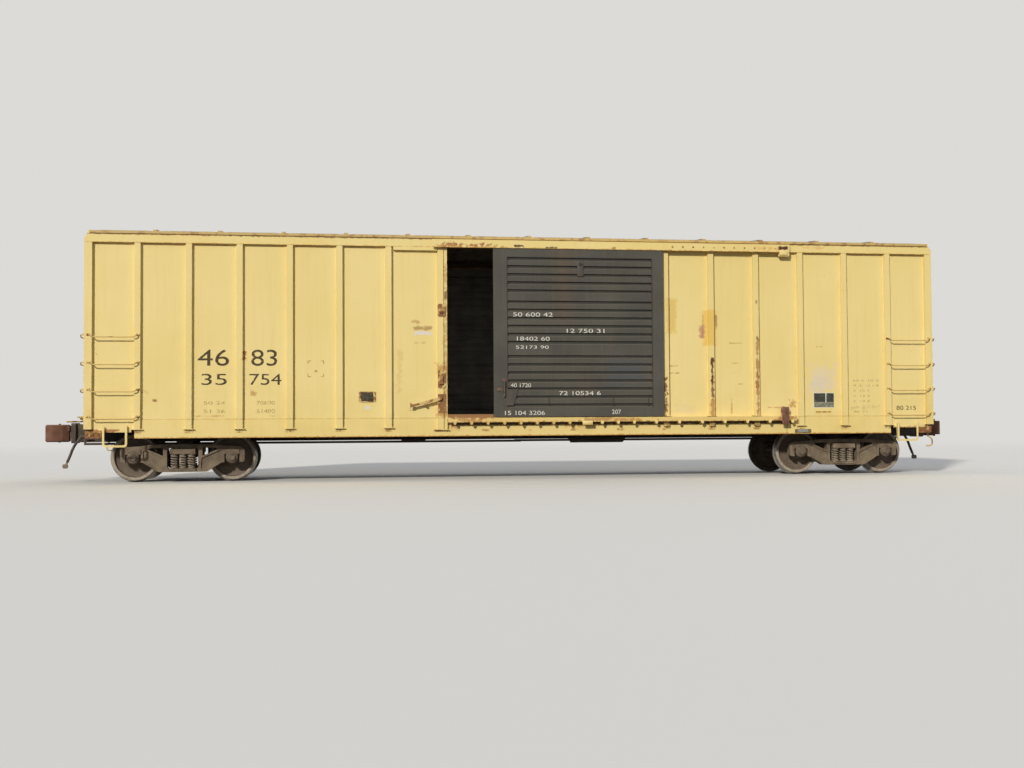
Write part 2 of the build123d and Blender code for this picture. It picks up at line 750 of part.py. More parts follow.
# Hand brake at the left end: wheel and gear housing
BRAKE_WHEEL_Y = 600.0
BRAKE_WHEEL_Z = 2150.0
BRAKE_WHEEL_RADIUS = 280.0
BRAKE_WHEEL_OUT = 190.0
BRAKE_RIM_RADIUS = 14.0
BRAKE_SPOKES = 5
BRAKE_SPOKE_RADIUS = 12.0
BRAKE_HUB_RADIUS = 45.0
BRAKE_SHAFT_RADIUS = 24.0
BRAKE_CASE_DEPTH = 110.0
BRAKE_CASE_HALF_Y = 130.0
BRAKE_CASE_CORNER = 50.0
BRAKE_CASE_REACH = (330.0, 110.0)


def at_brake_wheel(shape, out):
    """A piece turned about Z, set on the brake wheel's axis at a distance out from the end."""
    return Pos(-BODY_HALF_LENGTH - out, BRAKE_WHEEL_Y, BRAKE_WHEEL_Z) * Rot(0, -90, 0) * shape


def brake_housing():
    below, above = BRAKE_CASE_REACH
    case_x = (-BODY_HALF_LENGTH - BRAKE_CASE_DEPTH, -BODY_HALF_LENGTH + 6)
    case_y = (BRAKE_WHEEL_Y - BRAKE_CASE_HALF_Y, BRAKE_WHEEL_Y + BRAKE_CASE_HALF_Y)
    case = box(case_x, case_y, (BRAKE_WHEEL_Z - below, BRAKE_WHEEL_Z + above))
    return chamfered(case, Axis.X, BRAKE_CASE_CORNER)


def brake_wheel():
    reach = BRAKE_WHEEL_RADIUS - BRAKE_RIM_RADIUS
    rim = []
    for index in range(BAR_SIDES):
        angle = 2 * math.pi * index / BAR_SIDES
        rim.append((BRAKE_RIM_RADIUS * math.sin(angle), reach + BRAKE_RIM_RADIUS * math.cos(angle)))
    wheel = turned(rim, WHEEL_SIDES)
    wheel += turned([(-20, 0), (-20, BRAKE_HUB_RADIUS), (20, BRAKE_HUB_RADIUS), (20, 0)], ROUND_SIDES)
    for index in range(BRAKE_SPOKES):
        angle = math.pi * (0.5 + 2 * index / BRAKE_SPOKES)
        wheel += bar([(0, 0, 0), (reach * math.cos(angle), reach * math.sin(angle), 0)], BRAKE_SPOKE_RADIUS)
    wheel += bar([(0, 0, 0), (0, 0, BRAKE_CASE_DEPTH - BRAKE_WHEEL_OUT)], BRAKE_SHAFT_RADIUS, ROUND_SIDES)
    return at_brake_wheel(wheel, BRAKE_WHEEL_OUT)


save("brake_housing", [brake_housing()])
save("brake_wheel", [brake_wheel()])

# End platforms: a step across each end over the coupler, and the brakeman's step below the wheel
PLATFORM_REACH = 240.0
PLATFORM_THICK = 25.0
PLATFORM_TOP_Z = 1190.0
PLATFORM_HALF_Y = 760.0
BRAKE_STEP_TOP_Z = 1480.0
BRAKE_STEP_HALF_Y = 330.0
PLATFORM_WEB_DROP = 130.0
PLATFORM_WEB_HALF = 5.0
PLATFORM_WEB_INSET = 120.0


def platform(half_y, top):
    """A board at the +X end, on two brackets."""
    low = top - PLATFORM_THICK
    start, end = BODY_HALF_LENGTH, BODY_HALF_LENGTH + PLATFORM_REACH
    board = box((start, end), (-half_y, half_y), (low, top))
    web = [(start, low), (end - 20, low), (start, low - PLATFORM_WEB_DROP)]
    for side in (-1, 1):
        y = side * (half_y - PLATFORM_WEB_INSET)
        board += prism_y(web, (y - PLATFORM_WEB_HALF, y + PLATFORM_WEB_HALF))
    return board


brake_step = Pos(0, BRAKE_WHEEL_Y, 0) * other_side(platform(BRAKE_STEP_HALF_Y, BRAKE_STEP_TOP_Z))
save("end_platforms", both_sides(platform(PLATFORM_HALF_Y, PLATFORM_TOP_Z)) + [brake_step])

# Air brake under the floor, between the cross bearers on the far side
TANK_X = (1150.0, 2350.0)
TANK_Y = 760.0
TANK_Z = 820.0
TANK_RADIUS = 190.0
TANK_DOME = 60.0
TANK_STRAP_INSET = 250.0
BRAKE_CYLINDER_X = (-2350.0, -1750.0)
BRAKE_CYLINDER_Y = 560.0
BRAKE_CYLINDER_Z = 850.0
VALVE_X = (-350.0, 150.0)
VALVE_Y = (640.0, 940.0)
VALVE_Z = (760.0, 1000.0)


def lengthwise(profile, x, y, z):
    """A piece turned about a line along X; the profile starts at x."""
    return Pos(x, y, z) * Rot(0, 90, 0) * turned(profile, ROUND_SIDES)


def reservoir():
    start, end = TANK_X
    length = end - start
    half = [(0, 0), (0, TANK_RADIUS - 1.6 * TANK_DOME), (TANK_DOME, TANK_RADIUS)]
    profile = half + [(length - along, radius) for along, radius in reversed(half)]
    tank = lengthwise(profile, start, TANK_Y, TANK_Z)
    for x in (start + TANK_STRAP_INSET, end - TANK_STRAP_INSET):
        strap_z = (TANK_Z + TANK_RADIUS - 20, CENTRE_SILL_Z[1])
        tank += box((x - 20, x + 20), (TANK_Y - 60, TANK_Y + 60), strap_z)
    return tank


def brake_cylinder():
    start, end = BRAKE_CYLINDER_X
    # Along from the tip of the push rod: the rod, the flanged head and the body
    profile = [(0, 0), (0, 28), (290, 28), (290, 175), (320, 175), (320, 150)]
    profile += [(end - start + 160, 150), (end - start + 160, 0)]
    body = lengthwise(profile, start - 160, BRAKE_CYLINDER_Y, BRAKE_CYLINDER_Z)
    bracket_y = (BRAKE_CYLINDER_Y - 70, BRAKE_CYLINDER_Y + 70)
    return body + box((end - 300, end - 100), bracket_y, (BRAKE_CYLINDER_Z + 120, CENTRE_SILL_Z[1]))


def control_valve():
    block = chamfer(box(VALVE_X, VALVE_Y, VALVE_Z).edges(), 25)
    hanger_x = (VALVE_X[0] + 100, VALVE_X[1] - 100)
    hanger_y = (VALVE_Y[0] + 60, VALVE_Y[1] - 60)
    return block + box(hanger_x, hanger_y, (VALVE_Z[1] - 10, CENTRE_SILL_Z[1]))


save("air_reservoir", [reservoir()])
save("brake_cylinder", [brake_cylinder()])
save("control_valve", [control_valve()])

# Brake pipe: from angle cock to angle cock under the sill, crossing over at the middle
PIPE_RADIUS = 21.0
PIPE_Y = 350.0
PIPE_Z = 690.0
PIPE_END_X = 8060.0
COCK_X = 8125.0
COCK_Z = 822.0
COCK_RADIUS = 34.0
NIPPLE_LENGTH = 60.0
NIPPLE_TILT = 50.0
HOSE_RADIUS = 25.0


def down_and_out(point, length, tilt):
    """The point that lies further out towards the -X end and down, by a tilt in degrees."""
    angle = math.radians(tilt)
    return (point[0] - length * math.cos(angle), point[1], point[2] - length * math.sin(angle))


COCK_POINT = (-COCK_X, -PIPE_Y, COCK_Z)
HOSE_START = down_and_out(COCK_POINT, NIPPLE_LENGTH, NIPPLE_TILT)


def brake_pipe_half():
    """The half at the -X end, on the near side."""
    line = [
        (0, 0, PIPE_Z),
        (0, -PIPE_Y, PIPE_Z),
        (-PIPE_END_X, -PIPE_Y, PIPE_Z),
        (-PIPE_END_X, -PIPE_Y, COCK_Z),
    ]
    pipe = bar(line, PIPE_RADIUS, ROUND_SIDES)
    pipe += bar([(-PIPE_END_X + 25, -PIPE_Y, COCK_Z), COCK_POINT, HOSE_START], COCK_RADIUS, ROUND_SIDES)
    return pipe


half_pipe = brake_pipe_half()
save("brake_pipe", [half_pipe + other_side(half_pipe)])

# Air hoses: hang from the angle cocks, with a gladhand on the free end.
# Each run has a length and a tilt below the level.
HOSE_RUNS = [(100.0, 50.0), (125.0, 63.0), (130.0, 71.0), (115.0, 66.0)]
HOSE_POINTS = [HOSE_START]
for length, tilt in HOSE_RUNS:
    HOSE_POINTS.append(down_and_out(HOSE_POINTS[-1], length, tilt))
HOSE_BEND_SHARE = 0.45
# The corners of a section with flat sides lie out where its area is that of the round hose
ROUND_SIDE_ANGLE = 2 * math.pi / ROUND_SIDES
HOSE_CORNER_RADIUS = HOSE_RADIUS * math.sqrt(ROUND_SIDE_ANGLE / math.sin(ROUND_SIDE_ANGLE))


def hose_radii():
    radii = []
    for before, here, after in zip(HOSE_POINTS, HOSE_POINTS[1:], HOSE_POINTS[2:]):
        first = Vector(*here) - Vector(*before)
        second = Vector(*after) - Vector(*here)
        shorter = min(first.length, second.length)
        turn = math.radians(first.get_angle(second))
        radii.append(HOSE_BEND_SHARE * shorter / math.tan(turn / 2))
    return radii


def air_hose():
    radii = hose_radii()
    path = FilletPolyline(*HOSE_POINTS, radius=radii)
    section = Plane(origin=path @ 0, z_dir=path % 0) * RegularPolygon(HOSE_CORNER_RADIUS, ROUND_SIDES)
    tube = sweep(section, path=path)
    print("hose radii", [round(radius) for radius in radii], "length", round(path.length))
    print("hose volume share", round(tube.volume / (math.pi * HOSE_RADIUS ** 2 * path.length), 4))
    return tube


def gladhand():
    end = Vector(*HOSE_POINTS[-1])
    way = (end - Vector(*HOSE_POINTS[-2])).normalized()
    far = end + way * 60
    neck = bar([tuple(end), tuple(far)], 20, ROUND_SIDES)
    head = box((far.X - 55, far.X + 35), (far.Y - 28, far.Y + 28), (far.Z - 60, far.Z + 20))
    return neck + chamfered(head, Axis.Y, 18)


hose = air_hose()
save("air_hose_left", [hose])
save("air_hose_right", [other_side(hose)])
hand = gladhand()
save("gladhand_left", [hand])
save("gladhand_right", [other_side(hand)])

# Uncoupling levers: a bent rod from over the coupler to the left of each end
LEVER_BAR_RADIUS = 14.0
LEVER_POINTS = [
    (8470.0, -60.0, 1102.0),
    (8010.0, -330.0, 1106.0),
    (7945.0, -1250.0, 850.0),
    (7945.0, -1330.0, 560.0),
]
LEVER_BRACKET_Y = (-1010.0, -980.0)


def uncoupling_lever():
    bracket = box((BODY_HALF_LENGTH - 14, 7958), LEVER_BRACKET_Y, (870, 940))
    return bar(LEVER_POINTS, LEVER_BAR_RADIUS) + bracket


save("uncoupling_levers", both_sides(uncoupling_lever()))

# Couplers: a tapered shank, the cast head with its guard arm, horn and lock hole, and the knuckle on
# its pin. Each plan is (x from the pulling face, y), seen from above at the +X end.
HEAD_HALF_Z = 160.0
KNUCKLE_HALF_Z = 138.0
SHANK_HALF_Y = 67.0
SHANK_HALF_Z = 78.0
SHANK_CHAMFER = 14.0
SHANK_END_X = PULLING_FACE_X - 320
HEAD_CHAMFER = 22.0
HEAD_PLAN = [
    (-330, -90),
    (-250, -150),
    (-150, -185),
    (-105, -120),
    (-100, 20),
    (-85, 75),
    (-40, 110),
    (30, 134),
    (62, 158),
    (70, 190),
    (52, 210),
    (-60, 215),
    (-230, 165),
    (-330, 90),
]
KNUCKLE_PLAN = [
    (-149, -187),
    (-70, -212),
    (-30, -206),
    (-4, -178),
    (2, -140),
    (2, -80),
    (-8, -40),
    (-26, -18),
    (-50, -8),
    (-80, -30),
    (-72, -95),
    (-103, -118),
]
KNUCKLE_PIN = (-118.0, -150.0, 22.0)
LOCK_HOLE_X = (-205.0, -150.0)
HORN_X = (-340.0, -306.0)
HORN_HALF_Y = 118.0


def at_coupler(points):
    return [(PULLING_FACE_X + x, y) for x, y in points]


def coupler_head():
    z = (COUPLER_Z - HEAD_HALF_Z, COUPLER_Z + HEAD_HALF_Z)
    head = prism_z(at_coupler(HEAD_PLAN), z)
    rims = head.faces().sort_by(Axis.Z)[0].edges() + head.faces().sort_by(Axis.Z)[-1].edges()
    head = chamfer(rims, HEAD_CHAMFER)
    hole_x = [PULLING_FACE_X + x for x in LOCK_HOLE_X]
    return head - box(hole_x, (-30, 30), (COUPLER_Z + HEAD_HALF_Z - 60, COUPLER_Z + HEAD_HALF_Z + 1))


def coupler():
    """The one at the +X end, with its knuckle towards -Y."""
    shank_z = (COUPLER_Z - SHANK_HALF_Z, COUPLER_Z + SHANK_HALF_Z)
    shank = box((COUPLER_PIVOT_X - 60, SHANK_END_X), (-SHANK_HALF_Y, SHANK_HALF_Y), shank_z)
    shank = chamfered(shank, Axis.X, SHANK_CHAMFER)
    horn_x = [PULLING_FACE_X + x for x in HORN_X]
    horn_z = (COUPLER_Z + SHANK_HALF_Z - 30, COUPLER_Z + HEAD_HALF_Z - HEAD_CHAMFER)
    return shank + coupler_head() + box(horn_x, (-HORN_HALF_Y, HORN_HALF_Y), horn_z)


def knuckle():
    z = (COUPLER_Z - KNUCKLE_HALF_Z, COUPLER_Z + KNUCKLE_HALF_Z)
    body = prism_z(at_coupler(KNUCKLE_PLAN), z)
    x, y, radius = KNUCKLE_PIN
    pin_x = PULLING_FACE_X + x
    low, high = COUPLER_Z - HEAD_HALF_Z - 12, COUPLER_Z + HEAD_HALF_Z + 18
    return body + bar([(pin_x, y, low), (pin_x, y, high)], radius, ROUND_SIDES)


hook = coupler() + knuckle()
save("coupler_right", [hook])
save("coupler_left", [other_side(hook)])

# Trucks: cast side frames with a window for the springs, bolster, spring nests and brake beams.
# The frame's outline is half of it, from the middle of the top to the middle of the bottom, about the
# truck's centre; the jaws over the bearing adapters are part of it.
PEDESTAL_X = WHEELBASE / 2
FRAME_HALF_Y = 70.0
FLANGE_HALF_Y = 92.0
PEDESTAL_HALF_Y = 90.0
JAW_HALF = 134.0
JAW_ROOF_Z = 592.0
ADAPTER_LOW_Z = 500.0
ADAPTER_RADIUS = BEARING_RADIUS + 2
SPRING_SEAT_Z = 245.0
SEAT_THICK = 40.0
SEAT_HALF_X = 230.0
SEAT_HALF_Y = 100.0
BOLSTER_Z = (505.0, 600.0)
BOLSTER_TOP_Z = 640.0
BOLSTER_HALF_WIDTH = 225.0
BOWL_RIM_RADIUS = 210.0
BOWL_RIM_Z = 716.0
# The truck's side bearing: x, y on one side, z
SIDE_BEARING = ((-130.0, 130.0), (585.0, 685.0), (630.0, 700.0))
FRAME_HALF_OUTLINE = [
    (0, 680),
    (330, 680),
    (620, 668),
    (745, 648),
    (1010, 634),
    (1072, 606),
    (1088, 570),
    (1088, 392),
    (1070, 362),
    (1040, 355),
    (998, 355),
    (998, JAW_ROOF_Z),
    (730, JAW_ROOF_Z),
    (730, 355),
    (690, 350),
    (430, 190),
    (380, 185),
    (0, 185),
]
# Windows and pockets of one half, as (x, z) points
BOLSTER_WINDOW = [(0, SPRING_SEAT_Z), (245, SPRING_SEAT_Z), (275, 275), (275, 570), (240, 612), (0, 612)]
TRIANGLE_WINDOW = [(345, 480), (357, 474), (600, 583), (604, 596), (596, 607), (357, 620), (345, 612)]
LOWER_POCKET = [(318, 240), (430, 236), (672, 385), (692, 420), (692, 560), (640, 566), (330, 428)]
TOP_FLANGE = [(0, 668), (325, 668), (600, 656), (600, 670), (330, 680), (0, 680)]
BOTTOM_FLANGE = [(0, 185), (380, 185), (425, 190), (660, 334), (660, 350), (420, 203), (378, 198), (0, 198)]
POCKET_DEPTH = 26.0


def whole(half):
    """Both halves of an outline that starts and ends on the truck's middle."""
    return half + [(-x, z) for x, z in reversed(half) if x > 0]


def side_frame(y_centre):
    body_y = (y_centre - FRAME_HALF_Y, y_centre + FRAME_HALF_Y)
    through_y = (y_centre - 2 * FRAME_HALF_Y, y_centre + 2 * FRAME_HALF_Y)
    flange_y = (y_centre - FLANGE_HALF_Y, y_centre + FLANGE_HALF_Y)
    frame = prism_y(whole(FRAME_HALF_OUTLINE), body_y) - prism_y(whole(BOLSTER_WINDOW), through_y)
    frame += prism_y(whole(TOP_FLANGE), flange_y) + prism_y(whole(BOTTOM_FLANGE), flange_y)
    for side in (-1, 1):
        frame -= prism_y([(side * x, z) for x, z in TRIANGLE_WINDOW], through_y)
        pocket = [(side * x, z) for x, z in LOWER_POCKET]
        frame -= prism_y(pocket, (body_y[0], body_y[0] + POCKET_DEPTH))
        frame -= prism_y(pocket, (body_y[1] - POCKET_DEPTH, body_y[1]))
        x = side * PEDESTAL_X
        adapter_y = (y_centre - PEDESTAL_HALF_Y, y_centre + PEDESTAL_HALF_Y)
        adapter = box((x - JAW_HALF, x + JAW_HALF), adapter_y, (ADAPTER_LOW_Z, JAW_ROOF_Z))
        frame += adapter - Pos(x, y_centre, AXLE_Z) * across(disc(ADAPTER_RADIUS, (-200, 200)))
    seat_y = (y_centre - SEAT_HALF_Y, y_centre + SEAT_HALF_Y)
    return frame + box((-SEAT_HALF_X, SEAT_HALF_X), seat_y, (SPRING_SEAT_Z - SEAT_THICK, SPRING_SEAT_Z))


def truck_bolster():
    low, high = BOLSTER_Z
    half = [
        (0, 440),
        (640, 440),
        (870, low),
        (1110, low),
        (1110, high),
        (890, high),
        (800, BOLSTER_TOP_Z),
        (0, BOLSTER_TOP_Z),
    ]
    beam = prism_x(whole(half), (-BOLSTER_HALF_WIDTH, BOLSTER_HALF_WIDTH))
    beam += disc(BOWL_RIM_RADIUS, (BOLSTER_TOP_Z - 6, BOWL_RIM_Z))
    beam -= disc(CENTRE_PLATE_RADIUS + 6, (BOWL_Z, BOWL_RIM_Z + 1))
    bearing_x, bearing_y, bearing_z = SIDE_BEARING
    for side in (-1, 1):
        beam += box(bearing_x, sorted(side * y for y in bearing_y), bearing_z)
    return beam


SPRING_RADIUS = 68.0
SPRING_NECK_RADIUS = 56.0
SPRING_X = [-150.0, 0.0, 150.0]
SPRING_ROW_OUT = 28.0
SPRING_COILS = 5
SPRING_SIDES = 8


def spring(x, y):
    """A coil spring as a column that narrows between its coils."""
    low, high = SPRING_SEAT_Z, BOLSTER_Z[0]
    pitch = (high - low) / SPRING_COILS
    profile = [(low, 0), (low, SPRING_NECK_RADIUS)]
    for index in range(SPRING_COILS):
        profile.append((low + pitch * (index + 0.5), SPRING_RADIUS))
        profile.append((low + pitch * (index + 1), SPRING_NECK_RADIUS))
    profile.append((high, 0))
    return Pos(x, y, 0) * turned(profile, SPRING_SIDES)


def spring_nest(y_centre):
    side = 1 if y_centre > 0 else -1
    return [spring(x, y_centre + side * SPRING_ROW_OUT) for x in SPRING_X]


BEAM_X = 380.0
BEAM_HALF_X = 30.0
BEAM_HALF_Y = 800.0
BEAM_Z = (330.0, 380.0)
SHOE_INNER = TREAD_RADIUS + 6
SHOE_X = (350.0, 520.0)
SHOE_Y = (716.0, 800.0)
SHOE_Z = (270.0, 470.0)


def brake_beam(side):
    """The beam with its two shoes, inside the wheels on one side of the bolster."""
    x = side * BEAM_X
    beam = box((x - BEAM_HALF_X, x + BEAM_HALF_X), (-BEAM_HALF_Y, BEAM_HALF_Y), BEAM_Z)
    tread = Pos(side * PEDESTAL_X, 0, AXLE_Z) * Rot(90, 0, 0) * Cylinder(SHOE_INNER, 2 * BEAM_HALF_Y + 10)
    for y_side in (-1, 1):
        block = box(sorted(side * x for x in SHOE_X), sorted(y_side * y for y in SHOE_Y), SHOE_Z)
        beam += block - tread
    return beam


# Wheelsets: cast wheels pressed on an axle, with a roller bearing on each end.
# The wheel's profile is (out from the back of the rim, radius), the axle's (out from its middle, radius).
HUB_BORE = 98.0
WHEEL_PROFILE = [
    (0, FLANGE_RADIUS - 10),
    (14, FLANGE_RADIUS),
    (34, TREAD_RADIUS + 5),
    (46, TREAD_RADIUS),
    (RIM_WIDTH, TREAD_RADIUS - 5),
    (RIM_WIDTH, TREAD_RADIUS - 55),
    (90, TREAD_RADIUS - 63),
    (82, 165),
    (172, 140),
    (172, HUB_BORE),
    (-14, HUB_BORE),
    (-14, 145),
    (54, 165),
    (44, TREAD_RADIUS - 63),
    (0, TREAD_RADIUS - 53),
]
AXLE_HALF_PROFILE = [
    (615, 85),
    (650, HUB_BORE),
    (892, HUB_BORE),
    (892, BEARING_RADIUS),
    (1100, BEARING_RADIUS),
    (1100, 70),
    (1128, 70),
    (1128, 0),
]


def wheel(side):
    disc = Pos(0, WHEEL_BACK_Y, 0) * across(turned(WHEEL_PROFILE, WHEEL_SIDES))
    if side < 0:
        disc = mirrored_y(disc)
    return Pos(0, 0, AXLE_Z) * disc


def axle():
    half = AXLE_HALF_PROFILE
    profile = [(-out, radius) for out, radius in reversed(half)] + half
    return Pos(0, 0, AXLE_Z) * across(turned(profile, WHEEL_SIDES))


def place(shapes, x):
    return [Pos(x, 0, 0) * shape for shape in shapes]


frames = [side_frame(-JOURNAL_Y), side_frame(JOURNAL_Y)]
bolster = [truck_bolster()]
springs = spring_nest(-JOURNAL_Y) + spring_nest(JOURNAL_Y)
beams = [brake_beam(-1), brake_beam(1)]
wheels = [wheel(-1), wheel(1)]
shaft = [axle()]
for name, x in (("left", -TRUCK_X), ("right", TRUCK_X)):
    save(f"side_frames_{name}", place(frames, x))
    save(f"truck_bolster_{name}", place(bolster, x))
    save(f"springs_{name}", place(springs, x))
    save(f"brake_beams_{name}", place(beams, x))
    for axle_name, dx in (("outer", PEDESTAL_X), ("inner", -PEDESTAL_X)):
        axle_x = x + math.copysign(1, x) * dx
        save(f"wheels_{name}_{axle_name}", place(wheels, axle_x))
        save(f"axle_{name}_{axle_name}", place(shaft, axle_x))
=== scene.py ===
import math
import bmesh
import bpy
from mathutils import Matrix, Vector


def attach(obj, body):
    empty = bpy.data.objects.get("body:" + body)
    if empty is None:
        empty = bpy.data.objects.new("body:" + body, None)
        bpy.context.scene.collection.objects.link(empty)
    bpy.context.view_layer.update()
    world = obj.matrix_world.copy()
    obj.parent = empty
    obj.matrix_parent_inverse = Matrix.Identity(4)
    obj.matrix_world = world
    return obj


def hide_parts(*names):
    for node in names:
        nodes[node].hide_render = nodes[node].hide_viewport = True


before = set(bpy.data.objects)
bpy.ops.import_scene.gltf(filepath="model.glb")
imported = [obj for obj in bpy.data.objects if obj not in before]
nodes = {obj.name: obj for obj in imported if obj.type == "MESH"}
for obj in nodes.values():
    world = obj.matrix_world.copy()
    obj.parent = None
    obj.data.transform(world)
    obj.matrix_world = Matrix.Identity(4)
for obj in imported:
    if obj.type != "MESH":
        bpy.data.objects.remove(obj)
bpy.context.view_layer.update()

# Camera: at eye height across the road from the car, left of its middle and turned a little to the
# right and up. It is the photograph's own viewpoint, fitted to the car's posts, sills and wheels.
CAMERA_AT = Vector((-3.8643, -24.466, 0.961))
CAMERA_YAW, CAMERA_PITCH, CAMERA_ROLL = 0.1527, 0.0336, -0.0062
CAMERA_LENS, SENSOR_WIDTH = 44.535, 36.0


def put(name, data):
    """A new object in the scene."""
    made = bpy.data.objects.new(name, data)
    bpy.context.scene.collection.objects.link(made)
    return made


camera_data = bpy.data.cameras.new("camera")
camera_data.sensor_width = SENSOR_WIDTH
camera_data.lens = CAMERA_LENS
camera_data.clip_end = 1000.0
camera = put("camera", camera_data)
bpy.context.scene.camera = camera
level = math.cos(CAMERA_PITCH)
ahead = Vector((math.sin(CAMERA_YAW) * level, math.cos(CAMERA_YAW) * level, math.sin(CAMERA_PITCH)))
across = Vector((math.cos(CAMERA_YAW), -math.sin(CAMERA_YAW), 0.0))
above = across.cross(ahead)
right = across * math.cos(CAMERA_ROLL) + above * math.sin(CAMERA_ROLL)
up = above * math.cos(CAMERA_ROLL) - across * math.sin(CAMERA_ROLL)
camera.matrix_world = Matrix.Translation(CAMERA_AT) @ Matrix((right, up, -ahead)).transposed().to_4x4()

# Air hoses: black rubber hose with a woven core, one from the angle cock at each end of the car. They
# hang in a slack curve and end in a gladhand, which locks to the next car's.
HOSE_LINE = [
    (-8.1636, -0.350, 0.7760),
    (-8.2279, -0.350, 0.6994),
    (-8.2846, -0.350, 0.5881),
    (-8.3269, -0.350, 0.4651),
    (-8.3737, -0.350, 0.3601),
]
HOSE_DIAMETER = 0.050


def hue(code):
    """An sRGB hex colour as Blender's linear RGBA."""
    parts = [int(code[i:i + 2], 16) / 255 for i in (1, 3, 5)]
    return [c / 12.92 if c <= 0.04045 else ((c + 0.055) / 1.055) ** 2.4 for c in parts] + [1.0]


def plug(node, sockets):
    """Gives each socket of a node the value, the hex colour or the output that stands beside it."""
    for key, value in sockets.items():
        if isinstance(value, bpy.types.NodeSocket):
            node.id_data.links.new(value, node.inputs[key])
        else:
            node.inputs[key].default_value = hue(value) if isinstance(value, str) else value


def add(tree, kind, sockets, **settings):
    """A shader node with its settings and what its sockets take; gives its first output."""
    made = tree.nodes.new("ShaderNode" + kind)
    for name, value in settings.items():
        setattr(made, name, value)
    plug(made, sockets)
    return next((output for output in made.outputs if output.enabled), made)


def start_material(name):
    """A new material with its shader, and the place of each point in the car's own frame."""
    material = bpy.data.materials.new(name)
    material.use_nodes = True
    tree = material.node_tree
    return material, tree.nodes["Principled BSDF"], tree.nodes.new("ShaderNodeTexCoord").outputs["Object"]


def uneven(place, size, low, high, stretch=(1, 1, 1), most=1.0, detail=4.0):
    """A mask of patches about as large as size, in metres, which are denser the lower the range."""
    tree = place.id_data
    place = add(tree, "VectorMath", {0: place, 1: stretch}, operation="MULTIPLY")
    noise = add(tree, "TexNoise", {"Vector": place, "Scale": 1 / size, "Detail": detail})
    return add(tree, "MapRange", {"Value": noise, "From Min": low, "From Max": high, "To Max": most})


def coat(under, colour, *masks):
    """A second coat of colour where every mask lets it through; after the first, a mask may be a number."""
    mask = masks[0]
    for other in masks[1:]:
        mask = add(mask.id_data, "Math", {0: mask, 1: other}, operation="MULTIPLY")
    return add(mask.id_data, "Mix", {0: mask, 6: under, 7: colour}, data_type="RGBA")


def relief(place, scale, detail, strength, depth, below=None):
    """Small bumps from a noise, raised on the bare surface or on the relief below."""
    tree = place.id_data
    noise = add(tree, "TexNoise", {"Vector": place, "Scale": scale, "Detail": detail})
    raised = add(tree, "Bump", {"Height": noise, "Strength": strength, "Distance": depth})
    if below is not None:
        plug(raised.node, {"Normal": below})
    return raised


def rubber():
    # Moulded hose rubber: matt black, greyed by road dust that lies in faint patches
    material, shader, place = start_material("hose_rubber")
    colour = coat("#211F1D", "#5C5347", uneven(place, 0.06, 0.34, 0.66))
    plug(shader, {"Base Color": colour, "Roughness": 0.72, "Normal": relief(place, 260.0, 2.0, 0.25, 0.001)})
    return material


def placed(name, data, body, stands_for):
    """A piece in the scene that rides on a body, and may take the place of CAD nodes."""
    piece = put(name, data)
    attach(piece, body)
    if stands_for:
        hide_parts(*stands_for)
    return piece


def round_bars(name, lines, diameter, material, body, stands_for=()):
    """Round bars of one diameter along smooth lines, as one piece."""
    curve = bpy.data.curves.new(name, "CURVE")
    curve.dimensions = "3D"
    curve.bevel_depth = diameter / 2
    curve.bevel_resolution = 4
    curve.resolution_u = 8
    curve.use_fill_caps = True
    curve.materials.append(material)
    for line in lines:
        spline = curve.splines.new("NURBS")
        spline.points.add(len(line) - 1)
        for point, place in zip(spline.points, line):
            point.co = (*place, 1.0)
        spline.order_u = 3
        spline.use_endpoint_u = True
    return placed(name, curve, body, stands_for)


def half_turn(points):
    """A line turned half round the car's middle, for the other side or end."""
    return [(-x, -y, z) for x, y, z in points]


hose_rubber = rubber()
for side, line in (("left", HOSE_LINE), ("right", half_turn(HOSE_LINE))):
    hose = round_bars(f"air_hose_{side}_tube", [line], HOSE_DIAMETER, hose_rubber, "carbody",
                      [f"air_hose_{side}"])

# Floor and light: a plain pale studio floor that runs out into a pale backdrop, one broad lamp from
# the left like a low sun, and an even sky that fills the shadows.
FLOOR_REACH = 600.0
FADE_FROM, FADE_TO = 18.0, 60.0
PALE = "#DCDBD7"


def seen_or_mirrored(tree):
    """1 for rays that reach the eye straight, by a reflection or through glass."""
    rays = tree.nodes.new("ShaderNodeLightPath").outputs
    seen = add(tree, "Math", {0: rays["Is Camera Ray"], 1: rays["Is Glossy Ray"]}, operation="MAXIMUM")
    return add(tree, "Math", {0: seen, 1: rays["Is Transmission Ray"]}, operation="MAXIMUM")


floor_mesh = bpy.data.meshes.new("floor")
corners = [(x * FLOOR_REACH, y * FLOOR_REACH, 0) for x, y in ((-1, -1), (1, -1), (1, 1), (-1, 1))]
floor_mesh.from_pydata(corners, [], [(0, 1, 2, 3)])
floor = put("floor", floor_mesh)

material, shader, place = start_material("studio_floor")
tree = material.node_tree
seen = seen_or_mirrored(tree)
plug(shader, {"Base Color": coat("#63615D", "#E6E5E1", seen), "Roughness": 0.9, "Specular IOR Level": 0.1})
away = add(tree, "VectorMath", {0: place}, operation="LENGTH")
far = add(tree, "MapRange", {"Value": away, "From Min": FADE_FROM, "From Max": FADE_TO},
          interpolation_type="SMOOTHSTEP")
far = add(tree, "Math", {0: far, 1: seen}, operation="MULTIPLY")
glow = add(tree, "Emission", {"Color": PALE, "Strength": 1.0})
surface = add(tree, "MixShader", {0: far, 1: shader.outputs[0], 2: glow})
plug(tree.nodes["Material Output"], {"Surface": surface})
floor_mesh.materials.append(material)

